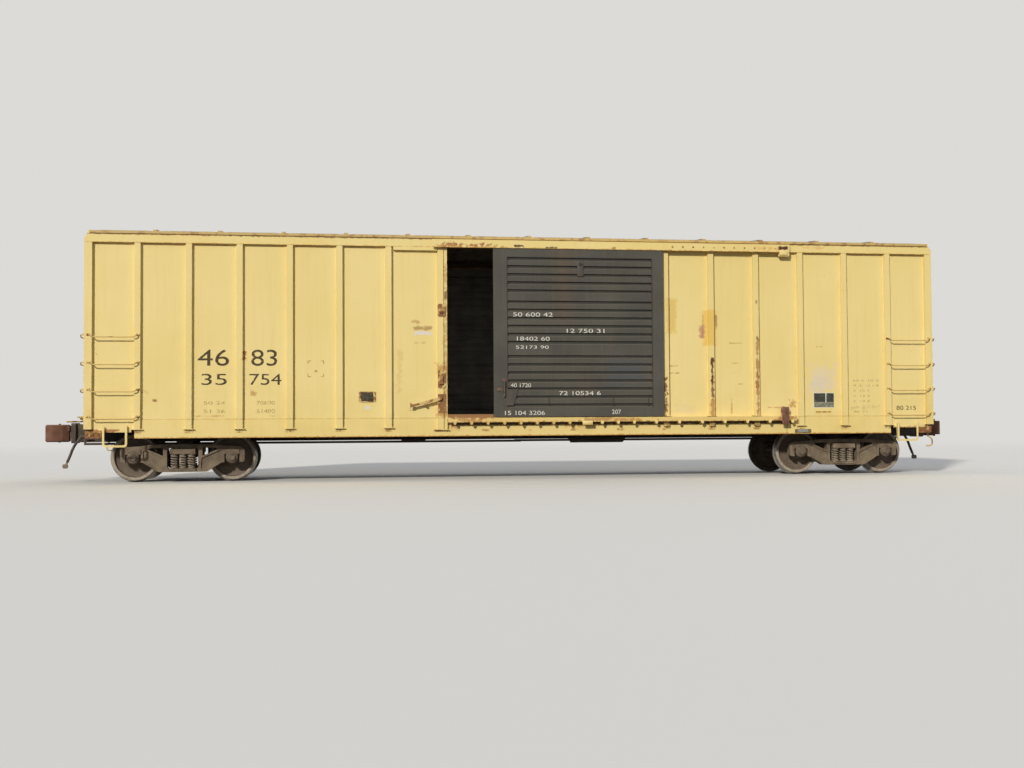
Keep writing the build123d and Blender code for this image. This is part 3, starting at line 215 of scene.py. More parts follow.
world = bpy.data.worlds.new("studio")
bpy.context.scene.world = world
world.use_nodes = True
tree = world.node_tree
tree.nodes.clear()
fill = add(tree, "Background", {"Color": "#F4F7FF", "Strength": 0.40})
backdrop = add(tree, "Background", {"Color": PALE, "Strength": 1.0})
sky = add(tree, "MixShader", {0: seen_or_mirrored(tree), 1: fill, 2: backdrop})
add(tree, "OutputWorld", {"Surface": sky})

# Name, strength, spread in degrees, colour, direction towards the lamp
LAMPS = [
    ("key_lamp", 2.92, 4, "#FFF9EE", (-0.474, -0.780, 0.405)),
    ("far_lamp", 0.60, 70, "#F4F7FF", (0.560, 0.690, 0.460)),
]
for name, strength, spread, tint, towards in LAMPS:
    lamp_data = bpy.data.lights.new(name, "SUN")
    lamp_data.energy = strength
    lamp_data.angle = math.radians(spread)
    lamp_data.color = hue(tint)[:3]
    lamp = put(name, lamp_data)
    lamp.rotation_mode = "QUATERNION"
    lamp.rotation_quaternion = Vector(towards).to_track_quat("Z", "Y")
bpy.context.scene.view_settings.view_transform = "Standard"

# Wheelsets: a pair of cast steel wheels pressed on an axle, with a sealed roller bearing outside each
# wheel. The treads are worn bright by the rail; the plates and hubs are brown with brake dust, and the
# outer face of each rim is a paler copy, a painted highlight.
TRUCK_X = 6.250
TRUCKS = (("left", -TRUCK_X), ("right", TRUCK_X))
WHEELBASE = 1.7272
AXLE_Z = 0.4445
WHEEL_BACK_Y = 0.676
# Out from the back of the rim, radius
WHEEL_OUTLINE = [
    (0.000, 0.4300), (0.004, 0.4395), (0.012, 0.4440), (0.020, 0.4436), (0.027, 0.4375), (0.033, 0.4280),
    (0.039, 0.4222), (0.048, 0.4191), (0.134, 0.4150), (0.142, 0.4130), (0.145, 0.4090), (0.145, 0.3660),
    (0.141, 0.3590), (0.112, 0.3555), (0.098, 0.3460), (0.089, 0.3200), (0.083, 0.2700), (0.080, 0.2200),
    (0.084, 0.1850), (0.100, 0.1660), (0.130, 0.1530), (0.168, 0.1440), (0.172, 0.1400), (0.172, 0.0985),
    (-0.014, 0.0985), (-0.014, 0.1420), (0.010, 0.1520), (0.036, 0.1630), (0.048, 0.1800), (0.047, 0.2300),
    (0.044, 0.2900), (0.040, 0.3350), (0.032, 0.3540), (0.004, 0.3650), (0.000, 0.3700),
]
# Out from the middle of the axle, radius
AXLE_OUTLINE = [
    (0.000, 0.0830), (0.560, 0.0850), (0.640, 0.0960), (0.660, 0.0985), (0.850, 0.0985), (0.858, 0.0900),
    (0.880, 0.0900), (0.892, 0.0960), (0.896, 0.1060), (0.904, 0.1100), (0.930, 0.1100), (0.934, 0.1085),
    (1.040, 0.1085), (1.044, 0.1100), (1.072, 0.1100), (1.080, 0.1060), (1.086, 0.0900), (1.100, 0.0880),
    (1.103, 0.0700), (1.118, 0.0660), (1.128, 0.0560), (1.128, 0.0000),
]
TREAD_OUT, TREAD_RADIUS = 0.022, 0.411
# Beyond these the rim's outer face takes the paler copy, a painted highlight, and the tread the bright steel
RIM_FACE_OUT, RIM_FACE_RADIUS = 0.138, 0.362
WHEEL_SEGMENTS, AXLE_SEGMENTS = 96, 64
CAP_FACE_Y = 1.1275
CAP_BOLTS, CAP_BOLT_RING = 3, 0.046
# Out from the bearing's cap, radius
CAP_BOLT = [(0.0, 0.0145), (0.014, 0.0145), (0.016, 0.010), (0.016, 0.0)]


def turned_ring(shape, outline, segments, centre=(0, 0, 0), direction=1, closed=False):
    """Adds to shape an outline of (out, radius) points turned about a line along Y."""
    x, y, z = centre
    turns = [2 * math.pi * step / segments for step in range(segments)]
    rings = []
    for out, radius in outline:
        places = [(x + radius * math.cos(turn), y + out * direction, z + radius * math.sin(turn)) for turn in turns]
        if radius == 0:
            rings.append([shape.verts.new(places[0])] * segments)
        else:
            rings.append([shape.verts.new(place) for place in places])
    pairs = list(zip(rings, rings[1:])) + ([(rings[-1], rings[0])] if closed else [])
    for first, second in pairs:
        for step in range(segments):
            after = (step + 1) % segments
            corners = list(dict.fromkeys([first[step], first[after], second[after], second[step]]))
            if len(corners) > 2:
                shape.faces.new(corners)


def finished(name, shape, material, body, stands_for=(), smooth_under=35):
    """Turns a bmesh into a piece that rides on a body, smooth where its faces meet gently."""
    bmesh.ops.recalc_face_normals(shape, faces=shape.faces)
    mesh = bpy.data.meshes.new(name)
    shape.to_mesh(mesh)
    shape.free()
    mesh.materials.append(material)
    mesh.shade_smooth()
    mesh.set_sharp_from_angle(angle=math.radians(smooth_under))
    return placed(name, mesh, body, stands_for)


def wheel_steel(name, shaded, dusty):
    # Cast and machined steel: brown road and brake dust over the given colours, which for the rim's face are paler, a
    # painted highlight
    material, shader, place = start_material(name)
    colour = coat(shaded, dusty, uneven(place, 0.11, 0.35, 0.70))
    colour = coat(colour, "#6B4A36", uneven(place, 0.05, 0.55, 0.75, most=0.6))
    plug(shader, {"Base Color": colour, "Roughness": 0.68, "Normal": relief(place, 90.0, 3.0, 0.3, 0.002)})
    return material


def tread_steel():
    # The same steel rolled bright by the rail, with a dull grey film
    material, shader, place = start_material("rolled_bright_steel")
    colour = coat("#B4B0AA", "#8F8981", uneven(place, 0.08, 0.40, 0.70))
    plug(shader, {"Base Color": colour, "Metallic": 0.85, "Roughness": 0.38})
    return material


wheel_dull = wheel_steel("wheel_steel", "#5A4E40", "#756756")
# A paler copy of the wheel steel for the rim's outer face: a painted highlight
rim_highlight_paint = wheel_steel("rim_steel_painted_highlight", "#93887A", "#ACA18D")
wheel_bright = tread_steel()
for truck, truck_x in TRUCKS:
    for end, way in (("outer", 1), ("inner", -1)):
        x = truck_x + math.copysign(WHEELBASE / 2, truck_x) * way
        body = f"wheelset_{truck}_{end}"
        shape = bmesh.new()
        for side in (-1, 1):
            turned_ring(shape, WHEEL_OUTLINE, WHEEL_SEGMENTS, (x, side * WHEEL_BACK_Y, AXLE_Z), side, closed=True)
        pair = finished(f"wheel_pair_{truck}_{end}", shape, wheel_dull, body,
                        [f"wheels_{truck}_{end}"], smooth_under=50)
        pair.data.materials.append(wheel_bright)
        pair.data.materials.append(rim_highlight_paint)
        for face in pair.data.polygons:
            out = abs(face.center.y) - WHEEL_BACK_Y
            radius = math.hypot(face.center.x - x, face.center.z - AXLE_Z)
            # The rim's outer face gets the painted highlight; the tread gets the rail-worn bright steel
            if out > RIM_FACE_OUT and radius > RIM_FACE_RADIUS:
                face.material_index = 2
            elif out > TREAD_OUT and radius > TREAD_RADIUS:
                face.material_index = 1
        shape = bmesh.new()
        for side in (-1, 1):
            turned_ring(shape, AXLE_OUTLINE, AXLE_SEGMENTS, (x, 0, AXLE_Z), side)
            for bolt in range(CAP_BOLTS):
                angle = math.radians(90 + 360 / CAP_BOLTS * bolt)
                at = (x + CAP_BOLT_RING * math.cos(angle), side * CAP_FACE_Y, AXLE_Z + CAP_BOLT_RING * math.sin(angle))
                turned_ring(shape, CAP_BOLT, 6, at, side)
        finished(f"axle_with_bearings_{truck}_{end}", shape, wheel_dull, body,
                 [f"axle_{truck}_{end}"])

# Trucks: two cast steel side frames joined by a bolster, which rides on nests of coil springs. The
# castings are rough from the sand mould, brown with road dust that lies thickest on what faces up.
SPRING_LOW, SPRING_HIGH = 0.245, 0.505
SPRING_X = (-0.150, 0.000, 0.150)
SPRING_Y = (1.025, 0.905)
SPRING_BAR, SPRING_RADIUS = 0.027, 0.0535
# The closed turns are those at each end that climb no further
SPRING_TURNS, CLOSED_TURNS = 6.5, 0.6
SPRING_STEPS, SPRING_SIDES = 18, 8
FRAME_ROUNDING, BOLSTER_ROUNDING = 0.009, 0.006


def facing(tree, axis):
    """How squarely the surface faces along an axis, from -1 to 1."""
    normal = tree.nodes.new("ShaderNodeNewGeometry").outputs["Normal"]
    return add(tree, "SeparateXYZ", {0: normal}).node.outputs[axis]


def cast_steel(name, bare, dusty, rust, grain=70.0):
    # Sand-cast steel under old paint and road dust: matt, rough, lighter where dust settles
    material, shader, place = start_material(name)
    tree = material.node_tree
    settled = add(tree, "MapRange", {"Value": facing(tree, "Z"), "From Min": -0.2, "From Max": 0.9})
    dust = add(tree, "Math", {0: uneven(place, 0.16, 0.30, 0.70), 1: settled}, operation="MAXIMUM")
    colour = coat(bare, dusty, dust)
    colour = coat(colour, rust, uneven(place, 0.045, 0.56, 0.72, most=0.7, detail=6.0))
    plug(shader, {"Base Color": colour, "Roughness": 0.82, "Normal": relief(place, grain, 4.0, 0.4, 0.004)})
    return material


def dress(names, material):
    """Gives CAD nodes their material."""
    for name in names:
        nodes[name].data.materials.clear()
        nodes[name].data.materials.append(material)


def add_skin(shape, rings):
    """A skin over rings of places, one after another, with a lid on the first and the last."""
    rings = [[shape.verts.new(place) for place in ring] for ring in rings]
    for first, second in zip(rings, rings[1:]):
        for index in range(len(first)):
            after = (index + 1) % len(first)
            shape.faces.new([first[index], first[after], second[after], second[index]])
    shape.faces.new(rings[0])
    shape.faces.new(rings[-1])


def coil_spring(shape, centre, turn_way):
    """A round bar wound into a coil between its seats, with its end turns closed down."""
    low, high = SPRING_LOW + SPRING_BAR / 2, SPRING_HIGH - SPRING_BAR / 2
    tilts = [2 * math.pi * side / SPRING_SIDES for side in range(SPRING_SIDES)]
    rings = []
    for step in range(int(SPRING_TURNS * SPRING_STEPS) + 1):
        turn = step / SPRING_STEPS
        angle = turn_way * 2 * math.pi * turn
        share = min(max((turn - CLOSED_TURNS) / (SPRING_TURNS - 2 * CLOSED_TURNS), 0.0), 1.0)
        out = Vector((math.cos(angle), math.sin(angle), 0))
        middle = Vector((*centre, low + (high - low) * share)) + out * SPRING_RADIUS
        rings.append([middle + (out * math.cos(tilt) + Vector((0, 0, math.sin(tilt)))) * SPRING_BAR / 2
                      for tilt in tilts])
    add_skin(shape, rings)


def rounded_edges(names, width):
    """Rounds the edges of castings by a width in metres."""
    for name in names:
        weld = nodes[name].modifiers.new("weld", "WELD")
        weld.merge_threshold = 0.0001
        flat = nodes[name].modifiers.new("flat", "DECIMATE")
        flat.decimate_type = "DISSOLVE"
        flat.angle_limit = math.radians(1)
        edges = nodes[name].modifiers.new("edges", "BEVEL")
        edges.width = width
        edges.segments = 2
        edges.limit_method = "ANGLE"
        edges.angle_limit = math.radians(28)
        edges.use_clamp_overlap = True


truck_cast = cast_steel("cast_truck_steel", "#5D5041", "#867863", "#6E4A32")
spring_steel = cast_steel("spring_steel", "#6B6155", "#9A8D7A", "#7A4F33", grain=120.0)
for truck, truck_x in TRUCKS:
    shape = bmesh.new()
    for along in SPRING_X:
        for row, out in enumerate(SPRING_Y):
            for side in (-1, 1):
                coil_spring(shape, (truck_x + along, side * out), 1 if row else -1)
    finished(f"spring_nest_{truck}", shape, spring_steel, f"truck_{truck}", [f"springs_{truck}"])
    dress([f"side_frames_{truck}", f"truck_bolster_{truck}", f"brake_beams_{truck}"], truck_cast)
    rounded_edges([f"side_frames_{truck}"], FRAME_ROUNDING)
    rounded_edges([f"truck_bolster_{truck}"], BOLSTER_ROUNDING)

# Underframe: rolled and pressed steel beams under a wooden floor, painted black once and now dull brown
# with rust and dust. The brake gear hangs from it.
UNDERFRAME = ["centre_sill", "draft_gears", "body_bolsters", "cross_bearers", "floor_stringers",
              "air_reservoir", "brake_cylinder", "control_valve", "brake_pipe"]
BOARD_PITCH = 0.280
JOINT_HALF = 0.004


def deck_wood():
    # Oak deck boards laid across the car: dry, scuffed grey-brown, with dark joints between the boards
    material, shader, place = start_material("oak_deck_boards")
    tree = material.node_tree
    colour = coat("#6A5845", "#8A7760", uneven(place, 0.05, 0.30, 0.72, stretch=(6.0, 0.35, 1.0)))
    along = add(tree, "SeparateXYZ", {0: place}).node.outputs["X"]
    joint = add(tree, "Math", {0: along, 1: BOARD_PITCH / 2}, operation="PINGPONG")
    joint = add(tree, "MapRange", {"Value": joint, "From Min": JOINT_HALF, "From Max": 0.0})
    plug(shader, {"Base Color": coat(colour, "#2A221B", joint), "Roughness": 0.85})
    return material


underframe_steel = cast_steel("rolled_underframe_steel", "#38312B", "#5C5148", "#5E3E2A", grain=30.0)
dress(UNDERFRAME, underframe_steel)
dress(["gladhand_left", "gladhand_right"], cast_steel("cast_gladhand_iron", "#6B5F50", "#94846A", "#7A5236"))
dress(["floor_deck"], deck_wood())

# Car sides: welded steel sheet stiffened by pressed hat posts, over a deep side sill. All of it is
# sprayed with one yellow enamel, now chalky, with dirt along the bottom and rust where it is knocked.
# A near-black band under the door ledge and the rust at the posts' feet also hold painted shade.
LINING_FACE_Y = 1.4484
END_LINING_FACE_X = 7.7985
BEYOND_THE_END = 9.0
FIRST_POST_X = 2.584
POST_PITCH = 0.880
POST_FOOT_Z = 0.900
# Where each begins and where it is full
DIRT_Z = (2.0, 0.9)
# Rust and painted shade at the posts' feet, across from each post and up or down from its foot: where each begins and
# where it is full
FOOT_RUST_AND_SHADE_X, FOOT_RUST_AND_SHADE_Z = (0.085, 0.045), (0.030, 0.008)
# Colour, x from and to, z from and to, softness, raggedness, how much of it holds
LEFT_MARKS = [
    ("#94552E", -6.715, -6.665, 1.440, 1.480, 0.012, 0.012, 0.9),
    ("#A8602F", -5.165, -5.115, 2.18, 2.32, 0.015, 0.030, 0.9),
    ("#B98A4C", -5.03, -4.96, 1.55, 1.62, 0.015, 0.030, 0.8),
    ("#B98A4C", -6.90, -6.82, 1.60, 1.64, 0.020, 0.030, 0.5),
    ("#B07E4A", -2.17, -2.05, 2.86, 2.90, 0.015, 0.030, 0.6),
    ("#A98352", -2.12, -1.80, 2.73, 2.79, 0.012, 0.030, 0.8),
    ("#DDD5D6", -2.11, -1.81, 2.64, 2.70, 0.008, 0.014, 0.9),
    ("#B9A06C", -2.10, -1.90, 2.485, 2.500, 0.012, 0.020, 0.5),
    ("#CDB068", -2.42, -2.36, 1.60, 2.36, 0.030, 0.060, 0.4),
    ("#B27A40", -1.70, -1.53, 1.15, 1.32, 0.040, 0.050, 0.7),
    ("#B27A40", -1.70, -1.53, 1.96, 2.10, 0.030, 0.050, 0.7),
    ("#B9853F", -1.575, -1.52, 1.15, 3.95, 0.010, 0.050, 0.6),
    ("#7F4A28", -1.580, -1.525, 3.30, 3.44, 0.010, 0.030, 0.8),
    ("#B9853F", -6.00, -5.50, 1.175, 1.185, 0.006, 0.014, 0.6),
    ("#BF9F58", -7.90, -1.60, 1.112, 1.132, 0.005, 0.008, 0.6),
    ("#96572A", -7.92, -7.30, 0.940, 0.985, 0.014, 0.050, 0.85),
    ("#B98A4C", -4.70, -4.62, 1.175, 1.185, 0.006, 0.014, 0.6),
]
RIGHT_MARKS = [
    ("#DDBF6C", 2.60, 2.80, 2.70, 3.34, 0.030, 0.030, 0.9),
    ("#E0BE62", 3.32, 3.57, 2.46, 3.13, 0.025, 0.020, 0.9),
    ("#B98A78", 3.25, 3.34, 2.60, 2.84, 0.020, 0.026, 0.85),
    ("#A87C46", 3.30, 3.33, 2.60, 3.05, 0.012, 0.016, 0.5),
    ("#8A6236", 3.56, 3.59, 2.78, 3.05, 0.010, 0.016, 0.7),
    ("#5F3820", 3.452, 3.492, 1.72, 2.23, 0.008, 0.030, 1.0),
    ("#7B4A2A", 3.452, 3.500, 1.42, 1.76, 0.010, 0.034, 0.9),
    ("#B07A40", 3.430, 3.520, 1.14, 1.48, 0.016, 0.040, 0.8),
    ("#8A5530", 4.340, 4.372, 1.62, 2.02, 0.008, 0.036, 0.9),
    ("#A9743F", 4.335, 4.385, 1.15, 2.60, 0.008, 0.034, 0.8),
    ("#6B3F25", 4.335, 4.380, 2.57, 2.63, 0.010, 0.020, 0.9),
    ("#8A5530", 4.335, 4.365, 3.26, 3.32, 0.010, 0.016, 0.7),
    ("#D3CBCB", 5.43, 5.93, 1.64, 2.06, 0.050, 0.140, 0.36),
    ("#CFC8C4", 5.43, 5.72, 1.57, 1.85, 0.050, 0.100, 0.34),
    ("#A9743F", 5.02, 5.12, 1.30, 1.42, 0.020, 0.040, 0.7),
    ("#B07A40", 4.58, 4.82, 1.287, 1.299, 0.008, 0.010, 0.7),
    ("#C2A05A", 3.84, 4.10, 2.504, 2.518, 0.008, 0.014, 0.8),
    ("#C9A55C", 3.88, 4.00, 2.125, 2.137, 0.008, 0.016, 0.7),
    ("#C9A55C", 3.86, 3.98, 1.945, 1.955, 0.008, 0.016, 0.7),
    ("#C2A05A", 4.00, 4.08, 1.735, 1.750, 0.008, 0.016, 0.7),
    ("#A87C46", 2.66, 2.82, 2.072, 2.084, 0.006, 0.010, 0.8),
    ("#A87C46", 2.66, 2.84, 1.940, 1.950, 0.006, 0.010, 0.8),
    ("#B07A40", 3.855, 3.875, 1.19, 1.44, 0.008, 0.012, 0.6),
    ("#B98A4C", 5.56, 5.66, 2.440, 2.452, 0.006, 0.012, 0.8),
    ("#7B4A2A", 2.545, 2.585, 1.14, 1.86, 0.012, 0.050, 0.9),
    ("#C9C2AC", 2.78, 3.10, 1.21, 1.33, 0.030, 0.090, 0.25),
    ("#B9A06C", 6.27, 6.81, 1.28, 1.30, 0.012, 0.050, 0.4),
    ("#BF9F58", 5.10, 7.90, 1.112, 1.132, 0.005, 0.008, 0.6),
]
SILL_MARKS = [
    ("#BC8840", -7.20, 7.20, 0.778, 0.806, 0.008, 0.012, 0.95),
    # A near-black band under the door ledge: dirt, and painted shade where the ledge shades the sill
    ("#3E2811", -1.50, 5.09, 0.990, 1.060, 0.008, 0.014, 0.92),
    ("#A9743F", -1.46, -1.30, 0.93, 0.99, 0.020, 0.050, 0.6),
    ("#B9853F", 0.66, 1.30, 0.95, 0.99, 0.015, 0.030, 0.5),
    ("#8A6A3C", 4.938, 4.953, 0.80, 0.97, 0.006, 0.006, 0.7),
]
PLATE_MARKS = [
    ("#C79A50", -7.95, 7.95, 4.236, 4.248, 0.005, 0.010, 0.7),
    ("#6F4F28", -7.95, 7.95, 4.376, 4.400, 0.004, 0.010, 0.95),
    ("#D9A768", 5.30, 5.70, 4.322, 4.350, 0.012, 0.030, 0.6),
]


def region(place, x, z, soft, ragged):
    """A mask of a rectangle on the car's side, in metres, with an edge that a noise frays."""
    tree = place.id_data
    middle = ((x[0] + x[1]) / 2, 0.0, (z[0] + z[1]) / 2)
    half = ((x[1] - x[0]) / 2, 9.0, (z[1] - z[0]) / 2)
    off = add(tree, "VectorMath", {0: place, 1: middle}, operation="SUBTRACT")
    off = add(tree, "VectorMath", {0: off}, operation="ABSOLUTE")
    off = add(tree, "VectorMath", {0: off, 1: half}, operation="SUBTRACT")
    outputs = add(tree, "SeparateXYZ", {0: off}).node.outputs
    off = add(tree, "Math", {0: outputs["X"], 1: outputs["Z"]}, operation="MAXIMUM")
    noise = add(tree, "TexNoise", {"Vector": place, "Scale": 14.0, "Detail": 5.0, "Roughness": 0.65})
    noise = add(tree, "Math", {0: noise, 1: 0.5}, operation="SUBTRACT")
    # The noise strays by about a sixth either way, so the edge strays by about the raggedness
    off = add(tree, "Math", {0: noise, 1: ragged * 6, 2: off}, operation="MULTIPLY_ADD")
    return add(tree, "MapRange", {"Value": off, "From Min": soft, "From Max": -soft})


def from_middle(place, axis):
    """How far a point is from the car's middle along an axis."""
    along = add(place.id_data, "SeparateXYZ", {0: place}).node.outputs[axis]
    return add(place.id_data, "Math", {0: along}, operation="ABSOLUTE")


def yellow_enamel(name, marks=(), base="#E6D18A", pale="#EAD693", lined_to_x=BEYOND_THE_END, grime=0.30):
    # Alkyd enamel on steel sheet: chalked and matt, dirtier low down, with small rust spots, rust and
    # painted shade at the posts' feet, and worn to a brownish orange along its edges. Inside, the plywood lining
    # shows.
    material, shader, place = start_material(name)
    tree = material.node_tree
    colour = coat(base, pale, uneven(place, 1.6, 0.36, 0.64))
    streaks = uneven(place, 0.45, 0.50, 0.78, stretch=(6.0, 6.0, 0.30), most=0.26)
    colour = coat(colour, "#DCC173", streaks)
    height = add(tree, "SeparateXYZ", {0: place}).node.outputs["Z"]
    low = {"Value": height, "From Min": DIRT_Z[0], "From Max": DIRT_Z[1], "To Max": grime}
    low = add(tree, "MapRange", low)
    colour = coat(colour, "#D3B468", uneven(place, 0.35, 0.40, 0.72), low)
    spots = uneven(place, 0.045, 0.700, 0.740, detail=6.0)
    colour = coat(colour, "#94602F", spots, uneven(place, 0.80, 0.52, 0.66))
    for tint, x_from, x_to, z_from, z_to, soft, ragged, most in marks:
        colour = coat(colour, tint, region(place, (x_from, x_to), (z_from, z_to), soft, ragged), most)
    along = add(tree, "Math", {0: from_middle(place, "X"), 1: FIRST_POST_X}, operation="SUBTRACT")
    along = add(tree, "Math", {0: along, 1: POST_PITCH / 2}, operation="PINGPONG")
    foot = add(tree, "MapRange", {"Value": along, "From Min": FOOT_RUST_AND_SHADE_X[0], "From Max": FOOT_RUST_AND_SHADE_X[1]})
    below = add(tree, "Math", {0: height, 1: POST_FOOT_Z}, operation="SUBTRACT")
    below = add(tree, "Math", {0: below}, operation="ABSOLUTE")
    below = add(tree, "MapRange", {"Value": below, "From Min": FOOT_RUST_AND_SHADE_Z[0], "From Max": FOOT_RUST_AND_SHADE_Z[1]})
    # Brownish rust at each post's foot, which is also painted shade under the foot
    colour = coat(colour, "#94662F", foot, below, uneven(place, 0.05, 0.36, 0.52, most=0.8))
    rounded = add(tree, "Bevel", {"Radius": 0.010}, samples=4)
    flat = tree.nodes.new("ShaderNodeNewGeometry").outputs["Normal"]
    alike = add(tree, "VectorMath", {0: rounded, 1: flat}, operation="DOT_PRODUCT")
    edge = add(tree, "MapRange", {"Value": alike, "From Min": 0.97, "From Max": 0.75})
    colour = coat(colour, "#B98743", edge, uneven(place, 0.12, 0.44, 0.70, most=0.55))
    inside = add(tree, "Math", {0: from_middle(place, "Y"), 1: LINING_FACE_Y}, operation="LESS_THAN")
    short_of_end = add(tree, "Math", {0: from_middle(place, "X"), 1: lined_to_x}, operation="LESS_THAN")
    plies = uneven(place, 0.30, 0.35, 0.70, stretch=(1.0, 1.0, 4.0))
    colour = coat(colour, coat("#4A3C2F", "#66543F", plies), inside, short_of_end)
    wavy = relief(place, 1.7, 1.0, 0.35, 0.030)
    chalky = relief(place, 45.0, 3.0, 0.12, 0.002, wavy)
    plug(shader, {"Base Color": colour, "Roughness": 0.62, "Specular IOR Level": 0.35, "Normal": chalky})
    return material


yellow = yellow_enamel("yellow_enamel_on_steel")
dress(["side_wall_near_left"], yellow_enamel("yellow_enamel_left_side", LEFT_MARKS))
dress(["side_wall_near_right"], yellow_enamel("yellow_enamel_right_side", RIGHT_MARKS))
dress(["side_wall_far_left", "side_wall_far_right", "sill_ends", "sill_steps"], yellow)
end_yellow = yellow_enamel("yellow_enamel_end", lined_to_x=END_LINING_FACE_X, grime=0.80)
dress(["end_wall_left", "end_wall_right"], end_yellow)
dress(["side_sills"], yellow_enamel("yellow_enamel_sill", SILL_MARKS, "#E5CE86", "#E8D28C"))
dress(["side_plates"], yellow_enamel("yellow_enamel_side_plate", PLATE_MARKS, "#E6D088", "#E9D590"))

# Roof: galvanised steel panels with a raised field each, seamed together by caps. It is bare metal with
# white bloom and rust at the seams, and its eaves are sprayed yellow with the sides.
SEAM_PITCH = 1.114
SEAM_RUST = (0.16, 0.03)
EAVE_Y = (1.500, 1.535)


def roof_zinc():
    # Hot-dip galvanised sheet: dull grey, blotched with white bloom, rusting from the seams
    material, shader, place = start_material("galvanised_roof_sheet")
    tree = material.node_tree
    colour = coat("#8F8E88", "#A9A79F", uneven(place, 0.35, 0.35, 0.65))
    runs = uneven(place, 0.22, 0.48, 0.74, stretch=(3.5, 0.5, 1.0), most=0.55, detail=6.0)
    colour = coat(colour, "#8C7A64", runs)
    from_seam = add(tree, "Math", {0: from_middle(place, "X"), 1: SEAM_PITCH / 2}, operation="PINGPONG")
    beside = add(tree, "MapRange", {"Value": from_seam, "From Min": SEAM_RUST[0], "From Max": SEAM_RUST[1]})
    colour = coat(colour, "#7A4F33", uneven(place, 0.11, 0.46, 0.62, most=0.85, detail=7.0), beside)
    rust = uneven(place, 0.10, 0.55, 0.66, detail=8.0)
    colour = coat(colour, "#6E472F", rust, uneven(place, 0.95, 0.50, 0.62))
    eave = add(tree, "MapRange", {"Value": from_middle(place, "Y"), "From Min": EAVE_Y[0], "From Max": EAVE_Y[1]})
    sprayed = coat("#C3A768", "#96673A", uneven(place, 0.10, 0.52, 0.66, most=0.75, detail=6.0))
    metal = add(tree, "MapRange", {"Value": eave, "To Min": 0.35, "To Max": 0.0})
    plug(shader, {"Base Color": coat(colour, sprayed, eave), "Metallic": metal, "Roughness": 0.6,
                  "Normal": relief(place, 20.0, 4.0, 0.2, 0.004)})
    return material


dress(["roof"], roof_zinc())

# Doors: a pressed steel frame round a panel of horizontal corrugations, once sprayed dark grey. Dust lies
# on the upper flank of each rib, rust runs down from the hangers, and painted shade darkens the under
# flanks and the grooves.
# Painted shade in the grooves: none at the ribs' crests, most at their flanks
RIB_CREST_Y, RIB_FLANK_Y = 1.602, 1.580
# x from and to, z from and to, softness, raggedness
RUST_RUN = ((0.50, 0.78), (2.9, 4.30), 0.16, 0.06)
WIPED_PLACE = ((1.45, 2.10), (1.76, 2.14), 0.10, 0.12)


def door_enamel():
    # Dark enamel on pressed steel: faded and dusty brown, bluer where it was wiped, rust run in streaks, and painted
    # shade on faces that look down and in the grooves
    material, shader, place = start_material("dark_door_enamel")
    tree = material.node_tree
    colour = coat("#45443E", "#514F48", uneven(place, 0.7, 0.35, 0.65))
    streaks = uneven(place, 0.30, 0.52, 0.74, stretch=(7.0, 1.0, 0.25), most=0.55)
    colour = coat(colour, "#5F5245", streaks)
    colour = coat(colour, "#6B5138", region(place, *RUST_RUN), 0.30)
    colour = coat(colour, "#434C52", region(place, *WIPED_PLACE), 0.55)
    colour = coat(colour, "#6B4A35", uneven(place, 0.05, 0.66, 0.72, most=0.7, detail=6.0))
    upward = facing(tree, "Z")
    dust = add(tree, "MapRange", {"Value": upward, "From Min": 0.15, "From Max": 0.8, "To Max": 0.6})
    colour = coat(colour, "#7C7264", dust)
    # Painted shade: faces that look down are darkened to near black
    under = add(tree, "MapRange", {"Value": upward, "From Min": -0.15, "From Max": -0.7, "To Max": 0.85})
    colour = coat(colour, "#1B1A18", under)
    # Painted shade that deepens from the ribs' crests into the grooves
    groove_painted_shade = {"Value": from_middle(place, "Y"), "From Min": RIB_CREST_Y, "From Max": RIB_FLANK_Y, "To Max": 0.55}
    colour = coat(colour, "#262522", add(tree, "MapRange", groove_painted_shade))
    across_car = add(tree, "SeparateXYZ", {0: place}).node.outputs["Y"]
    outward = add(tree, "Math", {0: facing(tree, "Y"), 1: across_car}, operation="MULTIPLY")
    inside = add(tree, "MapRange", {"Value": outward, "From Min": -0.20, "From Max": -0.80})
    primer = coat("#8C8981", "#A8A499", uneven(place, 0.4, 0.35, 0.65))
    plug(shader, {"Base Color": coat(colour, primer, inside), "Roughness": 0.6, "Specular IOR Level": 0.35,
                  "Normal": relief(place, 3.0, 4.0, 0.25, 0.012)})
    return material


door_paint = door_enamel()
dress(["door_frame_near", "door_panel_near", "door_frame_far", "door_panel_far"], door_paint)

# Door tracks and locks: rolled steel ledge and hood that the door slides in, and forged keepers with a
# long lever. Paint wears off them first, so they are half rust.
# The columns are those of the sides' marks
TRACK_MARKS = [
    ("#8F5640", -1.56, -0.65, 4.262, 4.292, 0.014, 0.060, 0.9),
    ("#B9853F", -1.70, -0.50, 4.240, 4.262, 0.014, 0.050, 0.7),
    ("#4A3026", -0.29, -0.11, 4.255, 4.285, 0.010, 0.014, 0.95),
    ("#3E2A2A", 0.29, 0.50, 4.230, 4.262, 0.010, 0.012, 0.95),
    ("#8A5A33", 1.53, 1.60, 4.245, 4.270, 0.010, 0.016, 0.8),
    ("#D9A85C", 4.30, 4.76, 4.278, 4.318, 0.020, 0.050, 0.6),
    ("#4A2A1C", 4.772, 4.958, 4.274, 4.338, 0.010, 0.014, 1.0),
    ("#B9853F", -1.85, 5.05, 4.224, 4.240, 0.006, 0.014, 0.7),
]
